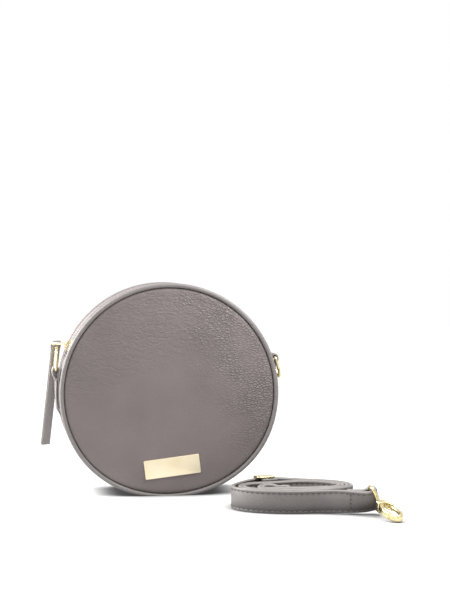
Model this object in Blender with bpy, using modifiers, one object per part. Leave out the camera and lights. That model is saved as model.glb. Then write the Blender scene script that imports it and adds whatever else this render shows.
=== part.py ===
"""A round leather crossbody bag that stands on its edge, with its coiled strap beside it.

The origin is the middle of the bag's flat foot, +Z is up, and the front face looks along -Y.
The bag is drawn in its own frame, with its middle at the origin of the empty bag_middle, and
that frame is rolled a little on the floor. Angles on the bag run anticlockwise from +X, as
seen from the front.
"""

import math

import bmesh
import bpy
from mathutils import Matrix, Vector

# Clearances that all pieces share
GAP = 0.0003
PLAY = 0.0004
OVERRUN = 0.002
MERGE = 0.00001

# The bag's body
BAG_RADIUS = 0.0980
BAG_DEPTH = 0.0600
FOOT_FLATTENING = 0.0068
SAG_SHARE = 0.046
SAG_ANGLE = math.radians(-87.0)
SAG_HALF_ANGLE = math.radians(65.0)
ROLL = math.radians(4.0)
CIRCLE_STEPS = 64
CORD_RADIUS = 0.0020
CORD_SET_BACK = 0.0015
PANEL_THICKNESS = 0.0016
PANEL_RIM = 0.0007
BOARD_THICKNESS = 0.0015
BOARD_INSET = 0.0025
LINING_THICKNESS = 0.0006
GUSSET_BELOW_CORD = 0.0016
GUSSET_THICKNESS = 0.0018
FLOOR_BLOCK = 0.0200

# The zip
ZIP_HALF_ANGLE = math.radians(65.0)
ZIP_OPENING = 0.0104
TAPE_THICKNESS = 0.0006
TAPE_EDGE = 0.0026
TAPE_REACH = 0.0150
TAPE_LAP = 0.0033
TOOTH_PITCH = 0.0040
TOOTH_LAND_SHARE = 0.28
TOOTH_FLANK_SHARE = 0.06
TOOTH_END_SHARE = 0.04
TOOTH_TIP = 0.0009
TOOTH_ROOT = 0.0012
CHAIN_THICKNESS = 0.0024
STOP_LENGTH = 0.0016
SLIDER_LENGTH = 0.0110
SLIDER_WIDTH = 0.0090
SLIDER_PLATE = 0.0012
POST_LENGTH = 0.0016
POST_WIDTH = 0.0016
POST_END_MARGIN = 0.0009
BRIDGE_WIRE = 0.0008
BRIDGE_SPAN = 0.0080
BRIDGE_HEIGHT = 0.0037
BRIDGE_SQUARE_SHARE = 0.6

# The zip's pull: a three-sided ring and a folded strip
PULL_YAW = math.radians(55.0)
PULL_WIRE = 0.0008
PULL_LENGTH = 0.0145
PULL_NOSE_HALF = 0.0024
PULL_CORNER = 0.0013
PULL_BAR_HALF = 0.0058
STRIP_LENGTH = 0.0970
STRIP_WIDTH = 0.0090
STRIP_LEATHER = 0.0012
STRIP_LEAN = math.radians(10.0)
STRIP_CLOSE = 0.0080

# The ring tabs and their D-rings
LEFT_TAB_ANGLE = math.radians(15.5)
RIGHT_TAB_ANGLE = math.radians(13.0)
TAB_WIDTH = 0.0140
TAB_LEATHER = 0.0016
TAB_INNER_LENGTH = 0.0340
TAB_OUTER_LENGTH = 0.0430
LEFT_STAND_OFF = 0.0055
RIGHT_STAND_OFF = 0.0070
RING_WIRE = 0.0013
RING_INNER_WIDTH = 0.0156
RING_REACH = 0.0193
RING_BOW_SHARE = 0.75
LEFT_RING_ANGLE = math.radians(83.0)
RIGHT_RING_ANGLE = math.radians(-77.0)

# The bare name plate
PLATE_LENGTH = 0.0500
PLATE_WIDTH = 0.0170
PLATE_THICKNESS = 0.0012
PLATE_CORNER = 0.0008
PLATE_SHIFT = -0.0026
PLATE_DROP_SHARE = 0.6643
PLATE_TILT = math.radians(2.9)
PRONG_RADIUS = 0.0007
PRONG_PITCH = 0.0360
BACKING_THICKNESS = 0.0004
BACKING_MARGIN = 0.0020

# The strap and the oval that it is coiled in
STRAP_WIDTH = 0.0195
STRAP_LEATHER = 0.0030
LAYER_GAP = 0.0004
COIL_X = 0.0970
COIL_Y = -0.1005
COIL_HALF_LENGTH = 0.0535
COIL_HALF_DEPTH = 0.0345
COIL_PITCH = 0.0072
COIL_SLACK = 0.0030
COIL_STEPS = 32
COIL_START_TURN = 0.22
SPIRAL_START_TURN = 0.69
SPIRAL_END_TURN = 2.36
FOLD_LENGTH = 0.0220
FOLD_CLOSE = 0.0080
FOLD_STEPS = 6

# The strap's outer end, which carries clasp a, and its inner end, which carries clasp b
BAR_A = (0.1540, -0.1455, 0.0142)
END_A_RISE = math.radians(20.5)
END_A_HEADING = math.radians(12.0)
END_A_TWIST = math.radians(-26.4)
END_A_TWIST_SHARE = 0.62
END_A_BOW = 0.0360
BAR_B = (0.0900, -0.0960, 0.0104)
END_B_TWIST = math.radians(55.0)
END_B_HEADING = math.radians(-3.0)
END_B_BOW = 0.0420
END_LIFT = 0.0008
END_STEPS = 14

# The strap's slide
SLIDE_TURN = 0.69
SLIDE_LENGTH = 0.0170
SLIDE_PLATE = 0.0013
SLIDE_BAR = 0.0012
SLIDE_BUMP_OUT = 0.0015
SLIDE_BUMP_IN = 0.0048
SLIDE_BUMP_TURNS = 0.13
SLIDE_TAIL = 0.0100
SLIDE_CORNER = 0.0016

# The clasps
EYE_WIRE = 0.0014
EYE_SIDE_PLAY = 0.0012
EYE_REACH = 0.0084
POST_RADIUS = 0.0013
HEAD_RADIUS = 0.0022
HEAD_THICKNESS = 0.0012
EYE_SQUARE_SHARE = 0.35
NECK_LENGTH = 0.0031
NECK_HALF = 0.0040
HOOK_LENGTH = 0.0318
HOOK_HALF = 0.0074
HOOK_WALL = 0.0030
HOOK_NOSE_WALL = 0.0034
HOOK_THICKNESS = 0.0062
GATE_START = 0.0098
GATE_LENGTH = 0.0140
GATE_THICKNESS = 0.0030
GATE_ROOT = 0.0016
GATE_PIN = 0.0005
EAR_LENGTH = 0.0034
SWING_A = math.radians(65.5)
SWIVEL_A = math.radians(-22.0)
SWING_B = math.radians(-12.0)
SWIVEL_B = math.radians(-55.0)

LEATHER = (0.215, 0.198, 0.196, 1.0)
LEATHER_DARK = (0.120, 0.108, 0.106, 1.0)
CLOTH = (0.060, 0.058, 0.060, 1.0)
BOARD = (0.450, 0.380, 0.280, 1.0)
GOLD = (0.800, 0.640, 0.320, 1.0)

# Radii and depths that follow from the sizes above
FOOT_DROP = BAG_RADIUS - FOOT_FLATTENING
PLATE_DROP = BAG_RADIUS * PLATE_DROP_SHARE
CORD_CENTRE = BAG_RADIUS - CORD_RADIUS
CORD_DEPTH = BAG_DEPTH / 2 - CORD_SET_BACK
PANEL_RADIUS = BAG_RADIUS - 2 * CORD_RADIUS - GAP
GUSSET_RADIUS = BAG_RADIUS - GUSSET_BELOW_CORD
GUSSET_HALF_WIDTH = CORD_DEPTH - CORD_RADIUS - GAP
GUSSET_INSIDE = GUSSET_RADIUS - GUSSET_THICKNESS
TAPE_RADIUS = GUSSET_INSIDE - GAP
BOARD_FRONT = BAG_DEPTH / 2 - PANEL_THICKNESS - GAP
BOARD_BACK = BOARD_FRONT - BOARD_THICKNESS
FACE_LINING_RADIUS = GUSSET_INSIDE - 2 * GAP
CHAIN_RADIUS = TAPE_RADIUS - TAPE_THICKNESS / 2
SLIDER_TOP = CHAIN_RADIUS + CHAIN_THICKNESS / 2 + GAP
SLIDER_BOTTOM = CHAIN_RADIUS - CHAIN_THICKNESS / 2 - GAP
FOLD_SPACING = STRAP_LEATHER + LAYER_GAP
HALF_FOLD = FOLD_SPACING / 2
EYE_TURN = EYE_WIRE + PLAY + STRAP_LEATHER / 2
SLIDE_TURN_RADIUS = SLIDE_BAR + PLAY + STRAP_LEATHER / 2
HALF_STRAP = STRAP_WIDTH / 2


def clear_scene():
    """Removes every object of the open scene."""
    for obj in list(bpy.data.objects):
        bpy.data.objects.remove(obj, do_unlink=True)


def collection(name):
    """A new collection, linked to the scene."""
    made = bpy.data.collections.new(name)
    bpy.context.scene.collection.children.link(made)
    return made


def finish(name, colour, roughness, metallic):
    """A plain shader for one object."""
    material = bpy.data.materials.new(name)
    material.use_nodes = True
    shader = material.node_tree.nodes["Principled BSDF"]
    shader.inputs["Base Color"].default_value = colour
    shader.inputs["Roughness"].default_value = roughness
    shader.inputs["Metallic"].default_value = metallic
    return material


def leather(name, colour=LEATHER):
    return finish(name, colour, 0.55, 0.0)


def metal(name):
    return finish(name, GOLD, 0.22, 1.0)


def add(name, data, parent=None, basis=None, material=None):
    """An object of the bag, placed in its parent's frame."""
    obj = bpy.data.objects.new(name, data)
    PARTS.objects.link(obj)
    obj.parent = parent
    if basis is not None:
        obj.matrix_basis = basis
    if material is not None:
        obj.data.materials.clear()
        obj.data.materials.append(material)
    return obj


def empty(name, parent=None, basis=None):
    """An empty that carries a joint's axis or a frame."""
    obj = bpy.data.objects.new(name, None)
    GUIDES.objects.link(obj)
    obj.parent = parent
    if basis is not None:
        obj.matrix_basis = basis
    return obj


def as_guide(obj):
    """Marks an object as a cutter or a tool, which isn't a part."""
    for owner in list(obj.users_collection):
        owner.objects.unlink(obj)
    GUIDES.objects.link(obj)
    obj.hide_render = True
    obj.display_type = "WIRE"
    return obj


def boolean(obj, tool, operation):
    """Cuts a tool from an object, or joins it on."""
    as_guide(tool)
    modifier = obj.modifiers.new(tool.name, "BOOLEAN")
    modifier.operation = operation
    modifier.object = tool
    modifier.solver = "EXACT"
    return obj


def smooth(obj):
    """Shades the round faces of a mesh smooth and keeps its corners sharp."""
    obj.data.shade_smooth()
    obj.data.set_sharp_from_angle(angle=math.radians(40.0))
    return obj


def as_mesh(obj):
    """Replaces a curve object with the mesh that it draws, with its caps welded on."""
    bpy.context.view_layer.update()
    evaluated = obj.evaluated_get(bpy.context.evaluated_depsgraph_get())
    mesh = bpy.data.meshes.new_from_object(evaluated)
    shape = bmesh.new()
    shape.from_mesh(mesh)
    bmesh.ops.remove_doubles(shape, verts=shape.verts, dist=MERGE)
    bmesh.ops.recalc_face_normals(shape, faces=shape.faces)
    shape.to_mesh(mesh)
    shape.free()
    made = bpy.data.objects.new(obj.name + "_mesh", mesh)
    for owner in obj.users_collection:
        owner.objects.link(made)
    made.parent = obj.parent
    made.matrix_world = obj.matrix_world.copy()
    name = obj.name
    bpy.data.objects.remove(obj, do_unlink=True)
    made.name = name
    return smooth(made)


def box(name, size, parent, centre, material=None):
    """A box with its middle at centre."""
    shape = bmesh.new()
    bmesh.ops.create_cube(shape, size=1.0)
    bmesh.ops.scale(shape, vec=Vector(size), verts=shape.verts)
    bmesh.ops.translate(shape, vec=Vector(centre), verts=shape.verts)
    mesh = bpy.data.meshes.new(name)
    shape.to_mesh(mesh)
    shape.free()
    return add(name, mesh, parent, None, material)


def cylinder(name, radius, length, parent, basis, material=None, sides=16):
    """A cylinder along the local Z axis of basis, with its middle at the origin of basis."""
    shape = bmesh.new()
    bmesh.ops.create_cone(
        shape, cap_ends=True, segments=sides, radius1=radius, radius2=radius, depth=length
    )
    mesh = bpy.data.meshes.new(name)
    shape.to_mesh(mesh)
    shape.free()
    return smooth(add(name, mesh, parent, basis, material))


def wire(name, points, radius, parent, cyclic, material=None, basis=None):
    """A round wire through points."""
    curve = bpy.data.curves.new(name, "CURVE")
    curve.dimensions = "3D"
    curve.bevel_depth = radius
    curve.bevel_resolution = 2
    curve.use_fill_caps = True
    curve.twist_mode = "MINIMUM"
    spline = curve.splines.new("POLY")
    spline.points.add(len(points) - 1)
    for node, place in zip(spline.points, points):
        node.co = (*place, 1.0)
    spline.use_cyclic_u = cyclic
    return add(name, curve, parent, basis, material)


def plate(name, outlines, thickness, parent, basis, material=None):
    """A flat outline with its holes, in the local XY plane of basis, with a thickness along Z."""
    curve = bpy.data.curves.new(name, "CURVE")
    curve.dimensions = "2D"
    curve.fill_mode = "BOTH"
    curve.extrude = thickness / 2
    for outline in outlines:
        spline = curve.splines.new("POLY")
        spline.points.add(len(outline) - 1)
        for node, place in zip(spline.points, outline):
            node.co = (place[0], place[1], 0.0, 1.0)
        spline.use_cyclic_u = True
    return as_mesh(add(name, curve, parent, basis, material))


def rounded(length, width, corner, steps=4):
    """The outline of a rectangle with rounded corners."""
    points = []
    for quarter in range(4):
        side_x = 1 if quarter in (0, 3) else -1
        side_y = 1 if quarter in (0, 1) else -1
        for step in range(steps + 1):
            turn = math.pi / 2 * (quarter + step / steps)
            x = side_x * (length / 2 - corner) + corner * math.cos(turn)
            y = side_y * (width / 2 - corner) + corner * math.sin(turn)
            points.append((x, y))
    return points


def turned(name, profile, parent, material, closed, start=0.0, sweep=2 * math.pi):
    """A profile of (radius, depth) turned about the bag's axis. Depth runs towards the front."""
    mesh = bpy.data.meshes.new(name)
    links = [(k, k + 1) for k in range(len(profile) - 1)]
    if closed:
        links.append((len(profile) - 1, 0))
    mesh.from_pydata([(radius, 0.0, depth) for radius, depth in profile], links, [])
    basis = Matrix.Rotation(math.pi / 2, 4, "X") @ Matrix.Rotation(start, 4, "Z")
    obj = add(name, mesh, parent, basis, material)
    screw = obj.modifiers.new("turn", "SCREW")
    screw.axis = "Z"
    screw.angle = sweep
    steps = max(2, round(CIRCLE_STEPS * sweep / (2 * math.pi)))
    screw.steps = steps
    screw.render_steps = steps
    screw.use_merge_vertices = True
    screw.merge_threshold = MERGE
    screw.use_smooth_shade = True
    return obj


def band(name, radius, thickness, near, far, start, end, parent, material):
    """A strip of leather or cloth that lies on a circle, from depth far to depth near."""
    obj = turned(name, [(radius, near), (radius, far)], parent, material, False, start, end - start)
    shell = obj.modifiers.new("thickness", "SOLIDIFY")
    shell.thickness = thickness
    shell.offset = -1.0
    shell.use_even_offset = True
    return obj


def ribbon(name, stations, thickness, parent, material):
    """A flat band through stations of (centre, half width vector), with its thickness."""
    shape = bmesh.new()
    rows = []
    for centre, half in stations:
        low = shape.verts.new(centre - half)
        high = shape.verts.new(centre + half)
        rows.append((low, high))
    for (low, high), (next_low, next_high) in zip(rows, rows[1:]):
        shape.faces.new((low, next_low, next_high, high))
    mesh = bpy.data.meshes.new(name)
    shape.to_mesh(mesh)
    shape.free()
    obj = smooth(add(name, mesh, parent, None, material))
    shell = obj.modifiers.new("thickness", "SOLIDIFY")
    shell.thickness = thickness
    shell.offset = 0.0
    shell.use_even_offset = True
    return obj


def arc_angle(length):
    """The angle of a length along the zip."""
    return length / GUSSET_RADIUS


def at_angle(angle, radius, depth=0.0):
    """A point of the bag's frame by its angle, radius and depth behind the middle."""
    return Vector((radius * math.cos(angle), depth, radius * math.sin(angle)))


def eased(share):
    """A smooth step from 0 to 1."""
    share = min(1.0, max(0.0, share))
    return share * share * (3 - 2 * share)


def sagged(obj, middle):
    """Lets the lower part of a piece of the shell sag flatter towards the foot."""
    obj = as_mesh(obj)
    to_bag = middle.matrix_world.inverted() @ obj.matrix_world
    for vertex in obj.data.vertices:
        place = to_bag @ vertex.co
        away = math.remainder(math.atan2(place.z, place.x) - SAG_ANGLE, 2 * math.pi)
        reach = abs(away) / SAG_HALF_ANGLE
        if reach < 1:
            share = 1 - SAG_SHARE * math.cos(math.pi / 2 * reach) ** 2
            vertex.co = to_bag.inverted() @ Vector((place.x * share, place.y, place.z * share))
    return obj


def make_bag_shell(middle):
    """Face panels, piping, boards, linings and the gusset."""
    half = BAG_DEPTH / 2
    floor = box(
        "floor_cut", (4 * BAG_RADIUS, 4 * BAG_DEPTH, FLOOR_BLOCK), None, (0, 0, -FLOOR_BLOCK / 2)
    )
    for side, name in ((1, "front"), (-1, "back")):
        depths = (half, half - PANEL_RIM, half - PANEL_THICKNESS)
        profile = [
            (0.0, side * depths[0]),
            (PANEL_RADIUS - PANEL_RIM, side * depths[0]),
            (PANEL_RADIUS, side * depths[1]),
            (PANEL_RADIUS, side * depths[2]),
            (0.0, side * depths[2]),
        ]
        facing = profile if side > 0 else profile[::-1]
        panel = turned(name + "_panel", facing, middle, leather(name + "_panel_leather"), False)
        sagged(panel, middle)
        board = [
            (0.0, side * BOARD_FRONT),
            (PANEL_RADIUS - BOARD_INSET, side * BOARD_FRONT),
            (PANEL_RADIUS - BOARD_INSET, side * BOARD_BACK),
            (0.0, side * BOARD_BACK),
        ]
        facing = board if side > 0 else board[::-1]
        grey = finish(name + "_board", BOARD, 0.8, 0.0)
        sagged(turned(name + "_board", facing, middle, grey, False), middle)
        inside = BOARD_BACK - GAP
        if side > 0:
            inside -= BACKING_THICKNESS + GAP
        lining = [
            (0.0, side * inside),
            (FACE_LINING_RADIUS, side * inside),
            (FACE_LINING_RADIUS, side * (inside - LINING_THICKNESS)),
            (0.0, side * (inside - LINING_THICKNESS)),
        ]
        facing = lining if side > 0 else lining[::-1]
        cloth = finish(name + "_cloth", CLOTH, 0.9, 0.0)
        sagged(turned(name + "_lining", facing, middle, cloth, False), middle)
        make_piping(name + "_piping", side, middle, floor)
    low_end = math.pi / 2 - ZIP_HALF_ANGLE
    high_end = math.pi / 2 + ZIP_HALF_ANGLE
    gusset = band(
        "lower_gusset", GUSSET_RADIUS, GUSSET_THICKNESS, GUSSET_HALF_WIDTH, -GUSSET_HALF_WIDTH,
        high_end, low_end + 2 * math.pi, middle, leather("gusset_leather"),
    )
    boolean(sagged(gusset, middle), floor, "DIFFERENCE")
    lap = arc_angle(TAPE_LAP + GAP)
    lining_half = BOARD_BACK - 2 * GAP - BACKING_THICKNESS - LINING_THICKNESS - GAP
    lining = band(
        "gusset_lining", TAPE_RADIUS, LINING_THICKNESS, lining_half, -lining_half,
        high_end + lap, low_end + 2 * math.pi - lap, middle, finish("gusset_cloth", CLOTH, 0.9, 0.0),
    )
    sagged(lining, middle)
    inset = arc_angle(GAP)
    for side, name in ((1, "front"), (-1, "back")):
        near, far = sorted((side * ZIP_OPENING / 2, side * GUSSET_HALF_WIDTH), reverse=True)
        band(
            "upper_gusset_" + name, GUSSET_RADIUS, GUSSET_THICKNESS, near, far,
            low_end + inset, high_end - inset, middle, leather("upper_leather_" + name),
        )


def make_piping(name, side, middle, floor):
    """The leather-covered cord in the seam between a face and the gusset."""
    points = []
    for step in range(CIRCLE_STEPS):
        turn = 2 * math.pi * step / CIRCLE_STEPS
        points.append(at_angle(turn, CORD_CENTRE, -side * CORD_DEPTH))
    cord = wire(name, points, CORD_RADIUS, middle, True, leather(name + "_leather"))
    boolean(sagged(cord, middle), floor, "DIFFERENCE")


def toothed_row(name, side, middle):
    """One row of zip teeth on the edge of its tape. side is 1 in front and -1 behind."""
    low_end = math.pi / 2 - ZIP_HALF_ANGLE + arc_angle(STOP_LENGTH + 2 * GAP)
    high_end = slider_angle() + arc_angle(post_inner_end() - GAP)
    tooth_share = TOOTH_LAND_SHARE + 2 * TOOTH_FLANK_SHARE + TOOTH_END_SHARE
    first_share = tooth_share / 2 if side > 0 else (1 + tooth_share) / 2
    count = int((high_end - low_end) / arc_angle(TOOTH_PITCH))
    pitch = (high_end - low_end) / count
    shape = bmesh.new()
    rings = []

    def ring(angle, reach):
        near = -side * (TAPE_EDGE - GAP)
        far = side * reach
        corners = []
        for radius, depth in (
            (CHAIN_RADIUS - CHAIN_THICKNESS / 2, near),
            (CHAIN_RADIUS + CHAIN_THICKNESS / 2, near),
            (CHAIN_RADIUS + CHAIN_THICKNESS / 2, far),
            (CHAIN_RADIUS - CHAIN_THICKNESS / 2, far),
        ):
            corners.append(shape.verts.new(at_angle(angle, radius, depth)))
        rings.append(corners)

    ring(low_end, -TOOTH_ROOT)
    for tooth in range(count):
        middle_angle = low_end + pitch * (tooth + first_share)
        land = pitch * TOOTH_LAND_SHARE / 2
        flank = pitch * TOOTH_FLANK_SHARE
        ring(middle_angle - land - flank, -TOOTH_ROOT)
        ring(middle_angle - land, TOOTH_TIP)
        ring(middle_angle + land, TOOTH_TIP)
        ring(middle_angle + land + flank, -TOOTH_ROOT)
    ring(high_end, -TOOTH_ROOT)
    for here, there in zip(rings, rings[1:]):
        for k in range(4):
            shape.faces.new((here[k], here[(k + 1) % 4], there[(k + 1) % 4], there[k]))
    shape.faces.new(rings[0])
    shape.faces.new(rings[-1])
    bmesh.ops.recalc_face_normals(shape, faces=shape.faces)
    mesh = bpy.data.meshes.new(name)
    shape.to_mesh(mesh)
    shape.free()
    return add(name, mesh, middle, None, metal(name + "_brass"))


def post_inner_end():
    """How far left of the slider's middle its post begins."""
    return SLIDER_LENGTH / 2 - POST_END_MARGIN - POST_LENGTH


def slider_angle():
    """The slider's place at the closed, left end of the zip."""
    return math.pi / 2 + ZIP_HALF_ANGLE - arc_angle(STOP_LENGTH + 2 * GAP + SLIDER_LENGTH / 2)


def make_zip(middle):
    """Tapes, teeth, stops and the slider."""
    low_end = math.pi / 2 - ZIP_HALF_ANGLE
    high_end = math.pi / 2 + ZIP_HALF_ANGLE
    lap = arc_angle(TAPE_LAP)
    for side, name in ((1, "front"), (-1, "back")):
        near, far = sorted((side * TAPE_EDGE, side * TAPE_REACH), reverse=True)
        band(
            "zip_tape_" + name, TAPE_RADIUS, TAPE_THICKNESS, near, far,
            low_end - lap, high_end + lap, middle, finish("tape_" + name, CLOTH, 0.9, 0.0),
        )
        toothed_row("zip_teeth_" + name, side, middle)
    stop_size = (CHAIN_THICKNESS, 2 * (TAPE_EDGE - GAP), STOP_LENGTH)
    for name, angle in (
        ("zip_stop_left", high_end - arc_angle(GAP + STOP_LENGTH / 2)),
        ("zip_stop_right", low_end + arc_angle(GAP + STOP_LENGTH / 2)),
    ):
        stop = box(name, stop_size, middle, (CHAIN_RADIUS, 0, 0), metal(name + "_brass"))
        stop.matrix_basis = Matrix.Rotation(-angle, 4, "Y")
    turn = Matrix.Rotation(math.pi / 2 - slider_angle(), 4, "Y")
    axis = empty("zip_axis", middle, turn)
    slider = box(
        "zip_slider", (SLIDER_LENGTH, SLIDER_WIDTH, SLIDER_PLATE), axis,
        (0, 0, SLIDER_TOP + SLIDER_PLATE / 2), metal("slider_metal"),
    )
    under = box(
        "slider_under", (SLIDER_LENGTH, SLIDER_WIDTH, SLIDER_PLATE), axis,
        (0, 0, SLIDER_BOTTOM - SLIDER_PLATE / 2),
    )
    post_height = SLIDER_TOP - SLIDER_BOTTOM + SLIDER_PLATE
    post_place = (-post_inner_end() - POST_LENGTH / 2, 0, (SLIDER_TOP + SLIDER_BOTTOM) / 2)
    post = box("slider_post", (POST_LENGTH, POST_WIDTH, post_height), axis, post_place)
    top = SLIDER_TOP + SLIDER_PLATE
    arch = []
    for step in range(9):
        lean = math.pi * step / 8
        reach = BRIDGE_SPAN / 2 * math.cos(lean)
        arch.append((reach, 0, top + BRIDGE_HEIGHT * math.sin(lean) ** BRIDGE_SQUARE_SHARE))
    for end in (0, -1):
        arch[end] = (arch[end][0], 0, top - SLIDER_PLATE / 2)
    bridge = as_mesh(wire("slider_bridge", arch, BRIDGE_WIRE, axis, False))
    boolean(slider, under, "UNION")
    boolean(slider, post, "UNION")
    boolean(slider, bridge, "UNION")
    return axis


def make_pull(middle):
    """The ring on the slider's bridge and the folded leather strip that hangs from it."""
    seat = at_angle(slider_angle(), SLIDER_TOP + SLIDER_PLATE + BRIDGE_HEIGHT)
    seat = middle.matrix_basis @ seat
    along = Vector((-math.cos(PULL_YAW), math.sin(PULL_YAW), 0))
    bar = Vector((-math.sin(PULL_YAW), -math.cos(PULL_YAW), 0))
    up = along.cross(bar)
    frame = Matrix((along, bar, up)).transposed().to_4x4()
    frame.translation = seat
    axis = empty("pull_ring_axis", None, frame)
    points = []
    for step in range(7):
        turn = math.pi / 2 + math.pi * step / 6
        points.append((PULL_NOSE_HALF * math.cos(turn), PULL_NOSE_HALF * math.sin(turn), 0))
    corner = PULL_CORNER
    for side in (-1, 1):
        for step in range(4):
            turn = side * math.pi / 2 * ((3 - step) / 3 if side < 0 else step / 3)
            points.append((
                PULL_LENGTH - corner + corner * math.cos(turn),
                side * (PULL_BAR_HALF - corner) + corner * math.sin(turn), 0,
            ))
    wire("pull_ring", points, PULL_WIRE, axis, True, metal("pull_ring_metal"))
    lean = Matrix.Rotation(math.pi / 2 - STRIP_LEAN, 4, "Y")
    hang = empty("pull_strip_axis", axis, Matrix.Translation((PULL_LENGTH, 0, 0)) @ lean)
    turn_radius = PULL_WIRE + PLAY + STRIP_LEATHER / 2
    closed = STRIP_LEATHER / 2 + GAP / 2
    side_path = []
    for step in range(5):
        share = step / 4
        side_path.append((share * STRIP_CLOSE, turn_radius + (closed - turn_radius) * eased(share)))
    side_path.append((STRIP_LENGTH / 2, closed))
    side_path.append((STRIP_LENGTH - turn_radius, closed))
    stations = [(down, -off) for down, off in reversed(side_path)]
    for step in range(1, 8):
        turn = math.pi * step / 8
        stations.append((-turn_radius * math.sin(turn), -turn_radius * math.cos(turn)))
    stations += side_path
    half = Vector((0, STRIP_WIDTH / 2, 0))
    rows = [(Vector((down, 0, off)), half) for down, off in stations]
    ribbon("pull_strip", rows, STRIP_LEATHER, hang, leather("strip_leather"))


def make_tabs(middle):
    """The two leather tabs on the gusset and the D-rings in their loops."""
    for name, bar_angle, turn_side, stand_off, rest in (
        ("left", math.pi - LEFT_TAB_ANGLE, 1, LEFT_STAND_OFF, LEFT_RING_ANGLE),
        ("right", RIGHT_TAB_ANGLE, -1, RIGHT_STAND_OFF, RIGHT_RING_ANGLE),
    ):
        seat = GUSSET_RADIUS + stand_off
        loop = RING_WIRE + PLAY + TAB_LEATHER / 2
        on_gusset = GUSSET_RADIUS + GAP + TAB_LEATHER / 2
        doubled = on_gusset + TAB_LEATHER + LAYER_GAP
        path = []
        for down, rise_share in TAB_INNER_SHARES:
            radius = on_gusset + (seat - loop - on_gusset) * rise_share
            path.append((down * TAB_INNER_LENGTH, radius))
        for step in range(1, 8):
            turn = -math.pi / 2 + math.pi * step / 8
            path.append((-loop * math.cos(turn), seat + loop * math.sin(turn)))
        for down, rise_share in TAB_OUTER_SHARES:
            radius = doubled + (seat + loop - doubled) * rise_share
            path.append((down * TAB_OUTER_LENGTH, radius))
        half = Vector((0, TAB_WIDTH / 2, 0))
        rows = []
        for down, radius in path:
            angle = bar_angle + turn_side * down / GUSSET_RADIUS
            rows.append((at_angle(angle, radius), half))
        ribbon(name + "_tab", rows, TAB_LEATHER, middle, leather(name + "_tab_leather"))
        hinge = Matrix.Translation(at_angle(bar_angle, seat)) @ Matrix.Rotation(-rest, 4, "Y")
        axis = empty(name + "_ring_axis", middle, hinge)
        wire(name + "_ring", ring_points(), RING_WIRE, axis, True, metal(name + "_ring_metal"))


def ring_points():
    """The middle line of a D-ring: a straight bar on the local Y axis and a bow along +X."""
    half = RING_INNER_WIDTH / 2 + RING_WIRE
    points = [(0.0, side * half * share, 0.0) for side, share in ((1, 0.8), (1, 0.0), (-1, 0.8))]
    for step in range(17):
        turn = -math.pi / 2 + math.pi * step / 16
        bow = abs(math.cos(turn)) ** RING_BOW_SHARE
        points.append((RING_WIRE + (RING_REACH - RING_WIRE) * bow, half * math.sin(turn), 0.0))
    return points


def make_name_plate(middle):
    """The bare plate on the front face, its two prongs and the backing plate behind the board."""
    face = -BAG_DEPTH / 2
    upright = Matrix.Rotation(math.pi / 2, 4, "X")
    tilt = Matrix.Rotation(PLATE_TILT, 4, "Z")
    place = Matrix.Translation((PLATE_SHIFT, face - GAP - PLATE_THICKNESS / 2, -PLATE_DROP))
    basis = place @ upright @ tilt
    outline = rounded(PLATE_LENGTH, PLATE_WIDTH, PLATE_CORNER)
    name_plate = plate("name_plate", [outline], PLATE_THICKNESS, middle, basis, metal("plate_metal"))
    behind = -BOARD_BACK + GAP
    place = Matrix.Translation((PLATE_SHIFT, behind + BACKING_THICKNESS / 2, -PLATE_DROP))
    backing_basis = place @ upright @ tilt
    outline = rounded(PLATE_LENGTH - BACKING_MARGIN, PLATE_WIDTH - BACKING_MARGIN, PLATE_CORNER)
    backing = plate(
        "plate_backing", [outline], BACKING_THICKNESS, middle, backing_basis, metal("backing_metal")
    )
    length = behind + BACKING_THICKNESS - face + GAP + PLATE_THICKNESS / 2
    start = PLATE_THICKNESS / 2 + GAP
    for number, side in enumerate((-1, 1)):
        spot = Matrix.Translation((side * PRONG_PITCH / 2, 0, -length / 2))
        prong = cylinder(f"prong_{number}", PRONG_RADIUS, length, middle, basis @ spot)
        boolean(name_plate, prong, "UNION")
        deep = Matrix.Translation((side * PRONG_PITCH / 2, 0, -start - length / 2))
        hole = cylinder(
            f"prong_hole_{number}", PRONG_RADIUS + GAP, length + OVERRUN, middle, basis @ deep
        )
        for target in (bpy.data.objects["front_panel"], bpy.data.objects["front_board"], backing):
            boolean(target, hole, "DIFFERENCE")


def coil_inset(turns):
    """How far inside the oval the middle of the doubled strap lies."""
    inset = STRAP_LEATHER / 2 + HALF_FOLD
    inset += COIL_PITCH * max(0.0, turns - SPIRAL_START_TURN)
    for centre, bump in ((SLIDE_TURN, -SLIDE_BUMP_OUT), (SLIDE_TURN + 1, SLIDE_BUMP_IN)):
        away = abs(turns - centre) / SLIDE_BUMP_TURNS
        if away < 1:
            inset += bump * math.cos(math.pi / 2 * away) ** 2
    return inset


def coil_point(turns):
    """The middle of the doubled strap after a number of turns from the oval's right end."""
    angle = -2 * math.pi * turns
    inset = coil_inset(turns)
    front = max(0.0, -math.sin(angle)) ** 2
    slack = COIL_SLACK * front * max(0.0, turns - COIL_START_TURN)
    lift = 0.0
    away = abs(turns - SLIDE_TURN) / SLIDE_BUMP_TURNS
    if away < 1:
        lift = (SLIDE_PLATE + GAP) * math.cos(math.pi / 2 * away) ** 2
    return Vector((
        COIL_X + (COIL_HALF_LENGTH - inset) * math.cos(angle),
        COIL_Y + (COIL_HALF_DEPTH - inset - slack) * math.sin(angle),
        HALF_STRAP + lift,
    ))


def bow(start, start_way, end, end_way, share):
    """A point of the smooth curve from start to end with the given end directions."""
    s = share
    return (
        start * (2 * s ** 3 - 3 * s ** 2 + 1)
        + start_way * (s ** 3 - 2 * s ** 2 + s)
        + end * (3 * s ** 2 - 2 * s ** 3)
        + end_way * (s ** 3 - s ** 2)
    )


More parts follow.
